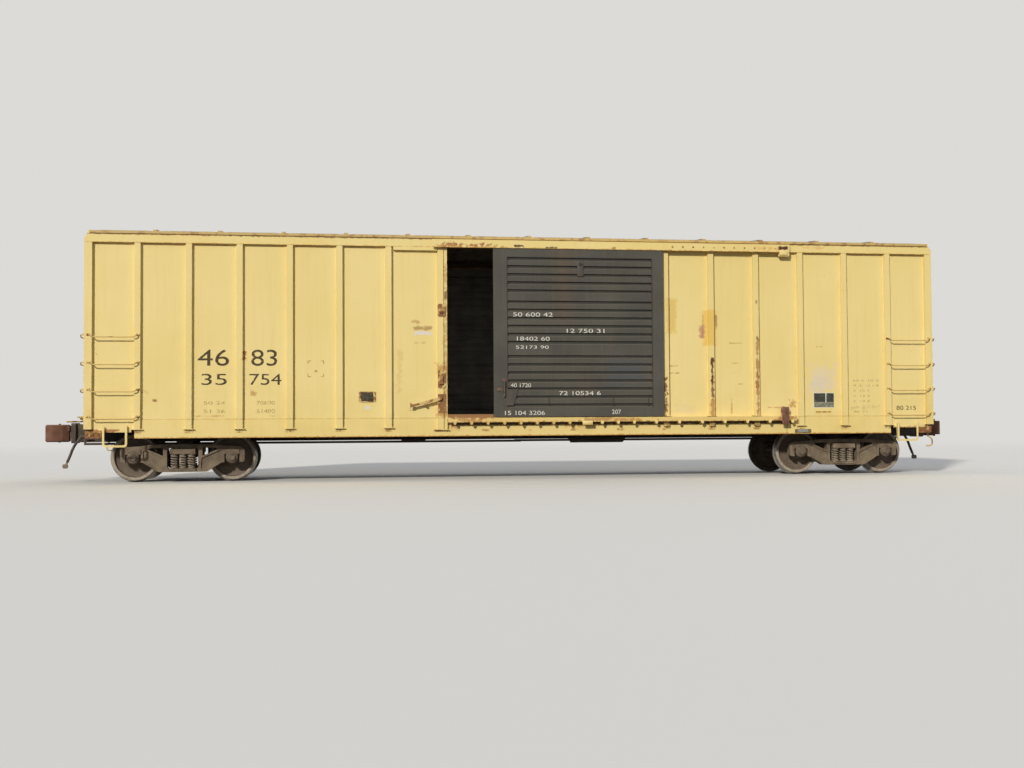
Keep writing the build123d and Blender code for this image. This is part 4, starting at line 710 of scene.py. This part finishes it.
LEDGE_MARKS = [
    ("#8E6540", -1.56, -0.68, 1.115, 1.260, 0.012, 0.030, 0.95),
    ("#A8713F", -1.30, -0.90, 1.04, 1.110, 0.016, 0.060, 0.7),
    ("#A87C46", 1.00, 1.50, 1.04, 1.125, 0.020, 0.050, 0.8),
    ("#A8713F", 1.56, 2.10, 1.04, 1.100, 0.020, 0.060, 0.7),
    ("#C0904C", -1.56, 5.12, 1.036, 1.055, 0.008, 0.024, 0.6),
    ("#9A653A", 4.72, 5.08, 1.00, 1.14, 0.040, 0.070, 0.8),
    ("#7A5630", -1.56, 5.12, 0.940, 1.030, 0.010, 0.040, 0.7),
]


def rusty_steel(name, paint_left=0.50, dark="#7A5232", light="#9C7044"):
    # Forged steel with the yellow worn off: scaly orange-brown rust with scraps of paint
    material, shader, place = start_material(name)
    colour = coat(dark, light, uneven(place, 0.05, 0.35, 0.65))
    paint = uneven(place, 0.12, paint_left, paint_left + 0.08, most=0.9, detail=6.0)
    plug(shader, {"Base Color": coat(colour, "#D8BC78", paint), "Roughness": 0.85,
                  "Normal": relief(place, 60.0, 5.0, 0.4, 0.003)})
    return material


rusty = rusty_steel("rusted_forged_steel")
handled = rusty_steel("handled_forged_steel", 0.40)
dress(["upper_door_tracks"], yellow_enamel("yellow_enamel_hood", TRACK_MARKS, "#E6CF85", "#EBD896"))
dress(["lower_door_tracks"], yellow_enamel("yellow_enamel_ledge", LEDGE_MARKS, "#D9B96E", "#E2C880"))
dress(["door_locks", "end_sills"], rusty)
dress(["brake_housing"], end_yellow)

# Fittings on the sides: a routing board in its frame, a painted panel left blank, a plastic tag on the
# sill, and plain stencilled numbers. The numbers are generic and the lettering's places stay bare.
SHEET_FACE_Y = 1.480
SILL_FACE_Y = 1.490
PAINT_LIFT = 0.0012
# Digits, x from and to, z from and to
ROAD_NUMBERS = [
    ("46", -5.956, -5.411, 2.070, 2.360),
    ("83", -5.025, -4.571, 2.070, 2.360),
    ("35", -5.891, -5.449, 1.730, 1.930),
    ("754", -5.057, -4.496, 1.730, 1.930),
    ("80 215", 7.160, 7.560, 1.235, 1.315),
]
FADED_NUMBERS = [
    ("50 24", -5.850, -5.480, 1.385, 1.440),
    ("70600", -4.930, -4.610, 1.380, 1.445),
    ("51 36", -5.850, -5.480, 1.235, 1.295),
    ("61400", -4.930, -4.610, 1.230, 1.300),
    ("204", -2.220, -2.080, 1.255, 1.305),
    ("50 6 10 2", 6.270, 6.810, 1.785, 1.820),
    ("9 2", 6.280, 6.460, 1.690, 1.725),
    ("13 1 8", 6.540, 6.800, 1.690, 1.725),
    ("86 71", 6.290, 6.560, 1.190, 1.225),
]
for left, right, low in (("3", "10 7", 1.590), ("4", "12 4", 1.490), ("5", "14 0", 1.390)):
    FADED_NUMBERS += [(left, 6.290, 6.330, low, low + 0.035), (right, 6.430, 6.620, low, low + 0.035)]


def add_block(shape, x, y, z, rounding=0.002):
    """A block between two places on each axis, its edges rounded unless rounding is 0."""
    corners = [shape.verts.new((a, b, c)) for a in x for b in y for c in z]
    sides = ((0, 1, 3, 2), (4, 6, 7, 5), (0, 4, 5, 1), (2, 3, 7, 6), (0, 2, 6, 4), (1, 5, 7, 3))
    faces = [shape.faces.new([corners[index] for index in side]) for side in sides]
    if rounding:
        edges = list({edge for face in faces for edge in face.edges})
        bmesh.ops.bevel(shape, geom=edges, offset=rounding, segments=2, affect="EDGES", profile=0.5)


def add_bolt(shape, at, size, out=(0, -1, 0)):
    """A hexagon head on a washer; size is across the corners and out is the way it faces."""
    turn = Vector((0, 1, 0)).rotation_difference(Vector(out)).to_matrix().to_4x4()
    bolt = bmesh.new()
    turned_ring(bolt, [(0.0, size * 0.66), (size * 0.10, size * 0.66), (size * 0.10, 0.0)], 14)
    head = [(size * 0.10, size / 2), (size * 0.48, size / 2), (size * 0.55, size * 0.42), (size * 0.55, 0.0)]
    turned_ring(bolt, head, 6)
    bmesh.ops.transform(bolt, matrix=Matrix.Translation(at) @ turn, verts=bolt.verts)
    mesh = bpy.data.meshes.new("bolt")
    bolt.to_mesh(mesh)
    bolt.free()
    shape.from_mesh(mesh)
    bpy.data.meshes.remove(mesh)


def on_both_sides(name, shape, material):
    """Finishes a shape of the near side, with its copy turned half round for the far side, as one piece."""
    copy = bmesh.ops.duplicate(shape, geom=shape.verts[:] + shape.edges[:] + shape.faces[:])
    verts = [item for item in copy["geom"] if isinstance(item, bmesh.types.BMVert)]
    bmesh.ops.rotate(shape, verts=verts, matrix=Matrix.Rotation(math.pi, 3, "Z"))
    finished(name, shape, material, "carbody")


def add_digits(shape, rows, y):
    """Plain digits as flat paint; a row gives the digits, x from and to, z from and to."""
    for digits, x_from, x_to, z_from, z_to in rows:
        letters = bpy.data.curves.new("digits", "FONT")
        letters.body = digits
        holder = bpy.data.objects.new("digits", letters)
        flat = holder.to_mesh().copy()
        low, high = [[pick(vertex.co[axis] for vertex in flat.vertices) for axis in (0, 1)] for pick in (min, max)]
        for vertex in flat.vertices:
            share_x, share_z = [(vertex.co[axis] - low[axis]) / (high[axis] - low[axis]) for axis in (0, 1)]
            vertex.co = (x_from + share_x * (x_to - x_from), y, z_from + share_z * (z_to - z_from))
        shape.from_mesh(flat)
        holder.to_mesh_clear()
        bpy.data.meshes.remove(flat)
        bpy.data.objects.remove(holder)
        bpy.data.curves.remove(letters)


def add_patch(shape, x, y, z):
    """A flat painted rectangle on the side."""
    corners = ((x[0], y, z[0]), (x[1], y, z[0]), (x[1], y, z[1]), (x[0], y, z[1]))
    shape.faces.new([shape.verts.new(corner) for corner in corners])


def add_plates(shape, face, plates, bolts=()):
    """Plates on a face of the side, by x from and to, z from and to, how far each stands out of the face and
    goes into it, and its rounding; and bolts, by x, z, how far out they sit and their size."""
    for x_from, x_to, z_from, z_to, out, into, rounding in plates:
        add_block(shape, (x_from, x_to), (-face - out, -face + into), (z_from, z_to), rounding)
    for x, z, out, size in bolts:
        add_bolt(shape, (x, -face - out, z), size)


def stencil_paint(name, paint, under, worn):
    # One thin coat through a stencil: matt, scuffed through to what is under it
    material, shader, place = start_material(name)
    scuffs = uneven(place, 0.035, 0.62 - worn * 0.3, 0.80 - worn * 0.3, most=0.85, detail=6.0)
    plug(shader, {"Base Color": coat(paint, under, scuffs), "Roughness": 0.75, "Specular IOR Level": 0.25})
    return material


dark_stencil = stencil_paint("dark_stencil_paint", "#4B4030", "#C9B57C", 0.12)
faded_stencil = stencil_paint("faded_stencil_paint", "#A8945F", "#DCC784", 0.5)
paint_y = -SHEET_FACE_Y - PAINT_LIFT
for name, rows, paint in (("road_numbers", ROAD_NUMBERS, dark_stencil),
                          ("faded_numbers", FADED_NUMBERS, faded_stencil)):
    shape = bmesh.new()
    add_digits(shape, rows, paint_y)
    on_both_sides(name, shape, paint)

# Painted corners with a dot below the middle, which mark where a tag would go
MARK_X, MARK_Z = (-4.034, -3.740), (1.870, 2.168)
MARK_LONG, MARK_WIDE = 0.060, 0.016
DOT_X, DOT_Z = (-3.909, -3.865), (1.959, 1.995)
shape = bmesh.new()
for x, inward in zip(MARK_X, (1, -1)):
    for z, upward in zip(MARK_Z, (1, -1)):
        for long, low, high in ((MARK_LONG, 0, MARK_WIDE), (MARK_WIDE, MARK_WIDE, MARK_LONG)):
            add_patch(shape, sorted((x, x + inward * long)), paint_y, sorted((z + upward * low, z + upward * high)))
add_patch(shape, DOT_X, paint_y, DOT_Z)
on_both_sides("tag_place_marks", shape, faded_stencil)

# Blank panel: piece, its paint, coats under it, patches by x from and to, z from and to
PANEL = [
    ("panel_ground", ("white_stencil_paint", "#DDD7C6", "#D8C68C", 0.25), 0,
     [(5.482, 5.902, 1.280, 1.572), (-3.03, -2.92, 1.285, 1.345)]),
    ("panel_fields", ("black_stencil_paint", "#3E4039", "#6E6F64", 0.2), 1,
     [(5.494, 5.722, 1.392, 1.560), (5.742, 5.892, 1.392, 1.560)]),
    ("panel_strip", ("grey_stencil_paint", "#747765", "#B9B494", 0.3), 1, [(5.497, 5.892, 1.294, 1.388)]),
    ("panel_foot", ("orange_stencil_paint", "#B98C35", "#7A6A3C", 0.45), 0,
     [(5.528, 5.640, 1.190, 1.218), (5.652, 5.742, 1.190, 1.218), (5.758, 5.832, 1.190, 1.218)]),
]
for name, paint, coats, patches in PANEL:
    shape = bmesh.new()
    for x_from, x_to, z_from, z_to in patches:
        add_patch(shape, (x_from, x_to), paint_y - coats * PAINT_LIFT, (z_from, z_to))
    on_both_sides(name, shape, stencil_paint(*paint))

# Routing board and tag: piece, material, slot, face it sits on, plates, bolts
BOARD_AND_TAG = [
    ("board_frame", rusty, "rusty_yellow_steel", SHEET_FACE_Y, [
        (-3.127, -3.083, 1.430, 1.594, 0.017, -0.001, 0.005),
        (-2.862, -2.818, 1.430, 1.594, 0.017, -0.001, 0.005),
        (-3.110, -2.835, 1.417, 1.433, 0.014, -0.001, 0.003),
        (-3.110, -2.835, 1.591, 1.607, 0.014, -0.001, 0.003)], []),
    ("routing_board", stencil_paint("weathered_board_paint", "#423E31", "#67614D", 0.4), None, SHEET_FACE_Y,
     [(-3.083, -2.862, 1.434, 1.590, 0.010, -0.001, 0.002)], []),
    ("plastic_tag", stencil_paint("grey_tag_plastic", "#8E938C", "#A39C8A", 0.3), None, SILL_FACE_Y,
     [(5.165, 5.365, 0.818, 0.874, 0.022, -0.008, 0.005)], []),
    ("tag_bracket", stencil_paint("dusty_bracket_paint", "#857655", "#6A5334", 0.5), "rusty_yellow_steel",
     SILL_FACE_Y, [(5.100, 5.424, 0.810, 0.882, 0.010, 0.0, 0.004)],
     [(5.127, 0.846, 0.010, 0.022), (5.397, 0.846, 0.010, 0.022)]),
]
for name, material, slot, face, plates, bolts in BOARD_AND_TAG:
    shape = bmesh.new()
    add_plates(shape, face, plates, bolts)
    on_both_sides(name, shape, material)

# Lower corners: a strip under the end of each side, dressed as the sheet is, and a pressed gusset that
# ties it to the end sill with three bolts. Dirt off the wheels rusts the gussets.
STRIP_X, STRIP_Z = (7.085, 7.735), (0.900, 0.9585)
STRIP_Y, GUSSET_Y = (-1.4890, -1.4810), (-1.476, -1.466)
GUSSET_OUTLINE = [(7.590, 0.957), (7.590, 0.826), (7.618, 0.796), (7.855, 0.796), (7.872, 0.815), (7.872, 0.957)]
GUSSET_BOLT_X, GUSSET_BOLT_Z, GUSSET_BOLT = (7.640, 7.735, 7.830), 0.866, 0.034
STRIP_MARKS = [
    ("#96572A", -7.75, -7.30, 0.895, 0.950, 0.014, 0.050, 0.85),
    ("#B07A40", 7.10, 7.74, 0.895, 0.915, 0.010, 0.030, 0.7),
]

shape = bmesh.new()
gussets = bmesh.new()
for way in (-1, 1):
    add_block(shape, sorted((way * STRIP_X[0], way * STRIP_X[1])), STRIP_Y, STRIP_Z)
    add_skin(gussets, [[(way * x, y, z) for x, z in GUSSET_OUTLINE] for y in GUSSET_Y])
    for x in GUSSET_BOLT_X:
        add_bolt(gussets, (way * x, GUSSET_Y[0], GUSSET_BOLT_Z), GUSSET_BOLT)
on_both_sides("corner_strips", shape, yellow_enamel("yellow_enamel_corner_strip", STRIP_MARKS))
gusset_steel = rusty_steel("rusted_gusset_steel", 0.56, "#6B4629", "#9A6C3F")
on_both_sides("corner_gussets", gussets, gusset_steel)

# Track fittings: bent noses of the ledge's brackets, hooked over its lip, a guide plate, the door's stop,
# and the bolts that hold the hood's wearing strip. They are bare where the door has rubbed them.
TRACK_FACE_Y = 1.628
NOSE_OUTLINE = [(-0.030, 1.060), (0.030, 1.060), (0.026, 1.022), (0.010, 0.996), (-0.010, 0.996), (-0.026, 1.022)]
NOSE_MARKS = [
    ("#B07C4A", -1.60, 0.90, 0.98, 1.080, 0.020, 0.050, 0.5),
    ("#C0904C", -1.60, 5.20, 0.985, 1.010, 0.010, 0.014, 0.6),
]
# Out of the track's face, share of its full width
NOSE_SECTIONS = [(0.007, 0.88), (0.003, 1.0), (-0.016, 1.0)]
NOSE_X = [-1.396 + 0.3034 * index for index in range(12)] + [
    FIRST_POST_X + POST_PITCH * post + side * 0.220 for post in range(3) for side in (-1, 1)] + [5.010]
GUIDE_PLATE = [(0.960, 1.150, 0.985, 1.062, 0.010, 0.002, 0.003)]
stop_steel = rusty_steel("scaled_stop_steel", 0.80, "#573A32", "#805A46")
# Piece, material, slot, plates, bolts
TRACK_FITTINGS = [
    ("hood_stop_faces", yellow, "yellow_enamel", [(4.790, 4.952, 4.176, 4.272, 0.012, 0.004, 0.005)], []),
    ("door_stop_feet", stop_steel, "rusty_yellow_steel", [(4.803, 4.940, 0.968, 1.300, 0.010, 0.020, 0.006)],
     [(4.872, 1.010, 0.010, 0.036), (4.872, 1.210, 0.010, 0.036)]),
    ("hood_bolts", handled, "rusty_yellow_steel", [],
     [(2.70 + 0.20 * index, 4.300, 0.0, 0.026) for index in range(11)]),
]

shape = bmesh.new()
for x in NOSE_X:
    add_skin(shape, [[(x + along * share, -TRACK_FACE_Y - out, z) for along, z in NOSE_OUTLINE]
                     for out, share in NOSE_SECTIONS])
add_plates(shape, TRACK_FACE_Y, GUIDE_PLATE)
on_both_sides("ledge_bracket_noses", shape, yellow_enamel("yellow_enamel_bracket", NOSE_MARKS))
for name, material, slot, plates, bolts in TRACK_FITTINGS:
    shape = bmesh.new()
    add_plates(shape, TRACK_FACE_Y, plates, bolts)
    on_both_sides(name, shape, material)

# Door fittings: a pull handle beside the locking gear's case, a hasp at the top, the strips that guide the
# gear's bar, dark strips of painted shade along the panel's edges, and plain stencilled numbers. They ride with each
# door.
DOOR_FACE_Y, DOOR_FIELD_Y = 1.612, 1.608
SHUT_MOVE = 0.9165
# Digits, x from and to, z from and to
FIELD_NUMBERS = [
    ("50 600 42", -0.320, 0.420, 2.975, 3.052),
    ("12 750 31", 0.680, 1.390, 2.682, 2.756),
    ("18402 60", -0.250, 0.360, 2.534, 2.606),
    ("52173 90", -0.270, 0.340, 2.384, 2.444),
    ("40 1720", -0.370, 0.005, 1.680, 1.752),
    ("72 10534 6", 0.530, 1.310, 1.532, 1.606),
]
FRAME_NUMBERS = [
    ("15 104 3206", -0.480, 0.260, 1.172, 1.248),
    ("207", 1.520, 1.690, 1.182, 1.262),
]
HANDLE_LINE = [(-0.487, -1.605, 1.800), (-0.487, -1.640, 1.800), (-0.487, -1.655, 1.796), (-0.487, -1.656, 1.770),
               (-0.487, -1.656, 1.530), (-0.487, -1.655, 1.504), (-0.487, -1.640, 1.500), (-0.487, -1.605, 1.500)]
HANDLE_DIAMETER = 0.022
# Plates: the handle's latch and feet, the hasp, the gear bar's guides and the strips of painted shade along the
# panel's edges
HANDLE_PLATES = [(-0.620, -0.470, 1.600, 1.665, 0.012, 0.002, 0.004)]
HANDLE_PLATES += [(-0.520, -0.454, z - 0.035, z + 0.035, 0.008, 0.002, 0.003) for z in (1.500, 1.800)]
HASP_PLATE = [(0.885, 1.000, 3.724, 4.010, 0.008, 0.008, 0.004)]
GUIDES_AND_SHADE_STRIPS = [(x - 0.010, x + 0.010, 1.342, 1.480, 0.004, 0.008, 0.003) for x in (0.340, 1.547, 2.213)]
# Near-black strips of painted shade where the frame steps down to the panel
GUIDES_AND_SHADE_STRIPS += [(x - 0.007, x + 0.007, 1.300, 4.150, -0.001, 0.006, 0) for x in (-0.424, 2.299)]
# The case tapers towards the pull handle
GEAR_CASE = [(-0.500, 1.640), (-0.235, 1.640), (-0.321, 1.347), (-0.500, 1.347)]
GEAR_CASE_Y = (-DOOR_FACE_Y - 0.010, -DOOR_FIELD_Y + 0.004)
# Out from the hasp, radius
EYE_OUTLINE = [(0.0, 0.034), (0.020, 0.030), (0.022, 0.0)]
EYE_AT = (0.9425, -DOOR_FACE_Y - 0.008, 3.955)


def door_steel(name, paint, rust):
    # Forged door gear under the dark enamel, rubbed through to brown rust by hands and gloves; its near-black copy
    # also serves as painted shade
    material, shader, place = start_material(name)
    plug(shader, {"Base Color": coat(paint, rust, uneven(place, 0.08, 0.38, 0.60)), "Roughness": 0.7})
    return material


def on_door(name, shape, material, door):
    """Finishes a shape of the near door as a piece of either door; the far door's is turned half round."""
    if door == "far":
        bmesh.ops.rotate(shape, verts=shape.verts, matrix=Matrix.Rotation(math.pi, 3, "Z"))
        bmesh.ops.translate(shape, verts=shape.verts, vec=(SHUT_MOVE, 0, 0))
    finished(f"{name}_{door}", shape, material, f"door_{door}")


door_gear = door_steel("rubbed_door_steel", "#43403A", "#6E5240")
# Near-black steel for the hasp's eye and the guides, and painted shade on the strips along the panel's edges
dark_gear_and_shade_strips = door_steel("shaded_door_steel", "#262420", "#3A2F27")
white_stencil = stencil_paint("white_door_stencil", "#D9D6CB", "#6B675E", 0.2)
for door in ("near", "far"):
    line = HANDLE_LINE if door == "near" else [(x + SHUT_MOVE, y, z) for x, y, z in half_turn(HANDLE_LINE)]
    round_bars(f"door_handle_{door}", [line], HANDLE_DIAMETER, door_gear, f"door_{door}")
    shape = bmesh.new()
    add_plates(shape, DOOR_FACE_Y, HANDLE_PLATES)
    on_door("door_gear", shape, door_gear, door)
    shape = bmesh.new()
    add_skin(shape, [[(x, y, z) for x, z in GEAR_CASE] for y in GEAR_CASE_Y])
    add_plates(shape, DOOR_FACE_Y, HASP_PLATE)
    on_door("door_plates", shape, door_paint, door)
    shape = bmesh.new()
    turned_ring(shape, EYE_OUTLINE, 24, EYE_AT, direction=-1)
    add_plates(shape, DOOR_FACE_Y, GUIDES_AND_SHADE_STRIPS)
    on_door("door_guides_and_shade_strips", shape, dark_gear_and_shade_strips, door)
    shape = bmesh.new()
    add_digits(shape, FIELD_NUMBERS, -DOOR_FIELD_Y - PAINT_LIFT)
    add_digits(shape, FRAME_NUMBERS, -DOOR_FACE_Y - PAINT_LIFT)
    on_door("door_numbers", shape, white_stencil, door)

# Grab irons: round bar bent hot, its ends flattened and bolted to the posts and to the end walls. They are
# sprayed yellow with the car and rust first at their feet.
GRAB_DIAMETER = 0.021
GRAB_Z = (1.135, 1.611, 2.086, 2.569)
GRAB_DROP, GRAB_REACH = 0.042, 0.062
POST_FACE_Y = 1.545
END_FACE_X = 7.886
# Place of each foot along the bar, and its bolt and its end beyond that
SIDE_FEET = [(6.985, -0.026, -0.048), (7.795, 0.026, 0.048)]
END_FEET = [(0.940, -0.026, -0.046), (1.500, 0.022, 0.042)]
FOOT_THICK, FOOT_HALF_HIGH, FOOT_LAP, FOOT_BOLT = 0.009, 0.020, 0.016, 0.024


def grab_line(feet, face, z):
    """From foot to foot: along, out from the car's middle, height."""
    low, high = feet[0][0], feet[1][0]
    top, out = z + GRAB_DROP, face + GRAB_REACH
    half = [(low, face, top), (low, out - 0.010, top), (low + 0.010, out, top - 0.006),
            (low + 0.046, out, z), (low + 0.100, out, z)]
    return half + [(low + high - along, out, height) for along, out, height in reversed(half)]


side_lines = []
end_lines = []
shape = bmesh.new()
for z in GRAB_Z:
    foot_z = z + GRAB_DROP
    z_span = (foot_z - FOOT_HALF_HIGH, foot_z + FOOT_HALF_HIGH)
    for way in (-1, 1):
        near = [(way * along, -out, height) for along, out, height in grab_line(SIDE_FEET, POST_FACE_Y, z)]
        side_lines += [near, half_turn(near)]
        at_end = [(out, way * along, height) for along, out, height in grab_line(END_FEET, END_FACE_X, z)]
        end_lines += [at_end, half_turn(at_end)]
        for foot, bolt, end in SIDE_FEET:
            x_span = sorted((way * (foot - math.copysign(FOOT_LAP, end)), way * (foot + end)))
            add_block(shape, x_span, (-POST_FACE_Y - FOOT_THICK, -POST_FACE_Y + 0.001), z_span, 0.003)
            add_bolt(shape, (way * (foot + bolt), -POST_FACE_Y - FOOT_THICK, foot_z), FOOT_BOLT)
        for foot, bolt, end in END_FEET:
            y_span = sorted((way * (foot - math.copysign(FOOT_LAP, end)), way * (foot + end)))
            add_block(shape, (END_FACE_X - 0.001, END_FACE_X + FOOT_THICK), y_span, z_span, 0.003)
            add_bolt(shape, (END_FACE_X + FOOT_THICK, way * (foot + bolt), foot_z), FOOT_BOLT, (1, 0, 0))
painted_grip = rusty_steel("painted_grip_steel", 0.30)
round_bars("side_grab_bars", side_lines, GRAB_DIAMETER, painted_grip, "carbody", ["side_grab_irons"])
round_bars("end_grab_bars", end_lines, GRAB_DIAMETER, painted_grip, "carbody", ["end_grab_irons"])
on_both_sides("grab_iron_feet", shape, handled)

# Sill steps: bent from strap into a U under each end of the sills, with a broad flange that faces out.
# They are sprayed yellow with the sides, and the shape here is the flange alone.
STEP_X = (7.150, 7.572)
STEP_LOW_Z, STEP_HIGH_Z = 0.640, 1.004
STEP_FLANGE, STEP_CORNER = 0.036, 0.045
FLANGE_FRONT_Y, FLANGE_BACK_Y = -1.5415, -1.5340


def step_outline(inset):
    """Half the U of the step, from its top end down to the middle of the tread."""
    corner = STEP_CORNER - inset / 2
    start, low = STEP_X[0] + inset, STEP_LOW_Z + inset
    return [(start, STEP_HIGH_Z), (start, low + corner), (start + corner * 0.3, low + corner * 0.3),
            (start + corner, low), (sum(STEP_X) / 2, low)]


shape = bmesh.new()
for way in (-1, 1):
    for flip in (False, True):
        rings = []
        for y, inset in ((FLANGE_FRONT_Y, 0.0), (FLANGE_FRONT_Y, STEP_FLANGE),
                         (FLANGE_BACK_Y, STEP_FLANGE), (FLANGE_BACK_Y, 0.0)):
            rings.append([shape.verts.new((way * (sum(STEP_X) - x if flip else x), y, z))
                          for x, z in step_outline(inset)])
        for first, second in zip(rings, rings[1:] + rings[:1]):
            for index in range(len(first) - 1):
                shape.faces.new([first[index], first[index + 1], second[index + 1], second[index]])
        shape.faces.new([ring[0] for ring in rings])
on_both_sides("sill_step_flanges", shape, yellow)

# Hand brake: a cast wheel on a short shaft out of the gear case, at the left end of the car. Its rim is
# carried by five dished spokes, and six bolts hold the case.
BRAKE_Y, BRAKE_Z = 0.600, 2.150
CASE_FACE_X = -END_FACE_X - 0.110
WHEEL_X = -END_FACE_X - 0.190
RIM_RADIUS, RIM_THICK = 0.266, 0.014
# Out from the wheel's plane or from the case's face, radius
HUB_OUTLINE = [(-0.070, 0.024), (-0.024, 0.026), (-0.020, 0.045), (0.016, 0.045), (0.022, 0.036), (0.024, 0.020),
               (0.034, 0.018), (0.034, 0.0)]
SHAFT_OUTLINE = [(-0.082, 0.024), (-0.060, 0.024)]
COVER_OUTLINE = [(0.0, 0.086), (0.012, 0.084), (0.020, 0.060), (0.022, 0.024)]
# Out from the hub's middle, how far it dishes
SPOKE_LINE = [(0.030, 0.0), (0.090, 0.004), (0.180, 0.010), (0.235, 0.006), (RIM_RADIUS, 0.0)]
SPOKES, SPOKE_DIAMETER = 5, 0.023
CASE_BOLT_Y, CASE_BOLT_Z, CASE_BOLT = (-0.095, 0.095), (-0.270, -0.110, 0.050), 0.026


def face_left_end(shape, x):
    """Turns a shape made round the Y axis to face out of the left end, on the brake's shaft."""
    turn = Matrix.Translation((x, BRAKE_Y, BRAKE_Z)) @ Matrix.Rotation(math.pi / 2, 4, "Z")
    bmesh.ops.transform(shape, matrix=turn, verts=shape.verts)


shape = bmesh.new()
rim = [(RIM_THICK * math.sin(step * math.pi / 6), RIM_RADIUS + RIM_THICK * math.cos(step * math.pi / 6))
       for step in range(12)]
turned_ring(shape, rim, 64, closed=True)
turned_ring(shape, HUB_OUTLINE, 32)
turned_ring(shape, SHAFT_OUTLINE, 24)
face_left_end(shape, WHEEL_X)
finished("brake_wheel_rim", shape, rusty, "carbody", ["brake_wheel"], smooth_under=50)
spokes = []
for index in range(SPOKES):
    angle = math.pi * (0.5 + 2 * index / SPOKES)
    spokes.append([(WHEEL_X - dish, BRAKE_Y + reach * math.cos(angle), BRAKE_Z + reach * math.sin(angle))
                   for reach, dish in SPOKE_LINE])
round_bars("brake_wheel_spokes", spokes, SPOKE_DIAMETER, rusty, "carbody")
shape = bmesh.new()
turned_ring(shape, COVER_OUTLINE, 32)
face_left_end(shape, CASE_FACE_X)
for y in CASE_BOLT_Y:
    for z in CASE_BOLT_Z:
        add_bolt(shape, (CASE_FACE_X, BRAKE_Y + y, BRAKE_Z + z), CASE_BOLT, (-1, 0, 0))
finished("brake_case_bolts", shape, rusty, "carbody")

# Uncoupling levers: one rod at each end, from a hook over the coupler out along the end sill and down to
# a handle below the corner. Their yellow is worn to rust.
LEVER_LINE = [(8.470, -0.060, 1.102), (8.200, -0.218, 1.104), (8.040, -0.312, 1.106), (8.000, -0.370, 1.100),
              (7.985, -0.560, 1.040), (7.952, -1.150, 0.878), (7.940, -1.250, 0.845), (7.872, -1.320, 0.810),
              (7.850, -1.345, 0.735), (7.930, -1.350, 0.695), (7.950, -1.350, 0.640), (7.946, -1.350, 0.565),
              (7.900, -1.350, 0.540), (7.825, -1.350, 0.543)]
LEVER_DIAMETER = 0.028
round_bars("uncoupling_rods", [LEVER_LINE, half_turn(LEVER_LINE)], LEVER_DIAMETER, handled, "carbody",
           ["uncoupling_levers"])

# End platforms: open steel grating, welded up from bars on edge and cross bars, on two gussets each.
# One crosses each end over the coupler; the small one under the brake wheel is for the brakeman.
PLATFORM_REACH, PLATFORM_THICK = 0.240, 0.025
PLATFORM_BARS, BAR_THICK, BAR_INSET = 8, 0.005, 0.003
CROSS_BAR_PITCH, CROSS_BAR_HIGH, CROSS_BAR_HALF, EDGE_HALF = 0.095, 0.009, 0.003, 0.004
GUSSET_DROP, GUSSET_INSET, GUSSET_THICK, TIP_INSET = 0.130, 0.120, 0.008, 0.020
# Which end, middle of its width, half its width, height of its top
PLATFORMS = [(1, 0.0, 0.760, 1.190), (-1, 0.0, 0.760, 1.190), (-1, 0.600, 0.330, 1.480)]

shape = bmesh.new()
for end, middle, half, top in PLATFORMS:
    low = top - PLATFORM_THICK
    for index in range(PLATFORM_BARS):
        x = END_FACE_X + BAR_INSET + (PLATFORM_REACH - 2 * BAR_INSET) * index / (PLATFORM_BARS - 1)
        x_span = sorted((end * (x - BAR_THICK / 2), end * (x + BAR_THICK / 2)))
        add_block(shape, x_span, (middle - half, middle + half), (low, top), 0)
    crossings = round(2 * half / CROSS_BAR_PITCH)
    for index in range(crossings + 1):
        y = middle - half + EDGE_HALF + 2 * (half - EDGE_HALF) * index / crossings
        at_edge = index in (0, crossings)
        thick, bar_low = (EDGE_HALF, low) if at_edge else (CROSS_BAR_HALF, top - CROSS_BAR_HIGH)
        x_span = sorted((end * END_FACE_X, end * (END_FACE_X + PLATFORM_REACH)))
        add_block(shape, x_span, (y - thick, y + thick), (bar_low, top - 0.0005), 0)
    tip = END_FACE_X + PLATFORM_REACH - TIP_INSET
    outline = [(END_FACE_X, low), (tip, low), (tip, low - 0.012),
               (END_FACE_X + 0.030, low - GUSSET_DROP), (END_FACE_X, low - GUSSET_DROP)]
    for way in (-1, 1):
        y = middle + way * (half - GUSSET_INSET)
        add_skin(shape, [[(end * x, y + side * GUSSET_THICK / 2, z) for x, z in outline] for side in (-1, 1)])
finished("platform_gratings", shape, handled, "carbody", ["end_platforms"])

# Couplers: knuckle couplers of cast steel on a cushioned shank, rusty brown, rubbed to bare metal on the
# pulling face.
COUPLER_ROUNDING = 0.010
coupler_cast = cast_steel("cast_coupler_steel", "#5A3D30", "#7A5645", "#84492C")
dress(["coupler_left", "coupler_right"], coupler_cast)
rounded_edges(["coupler_left", "coupler_right"], COUPLER_ROUNDING)
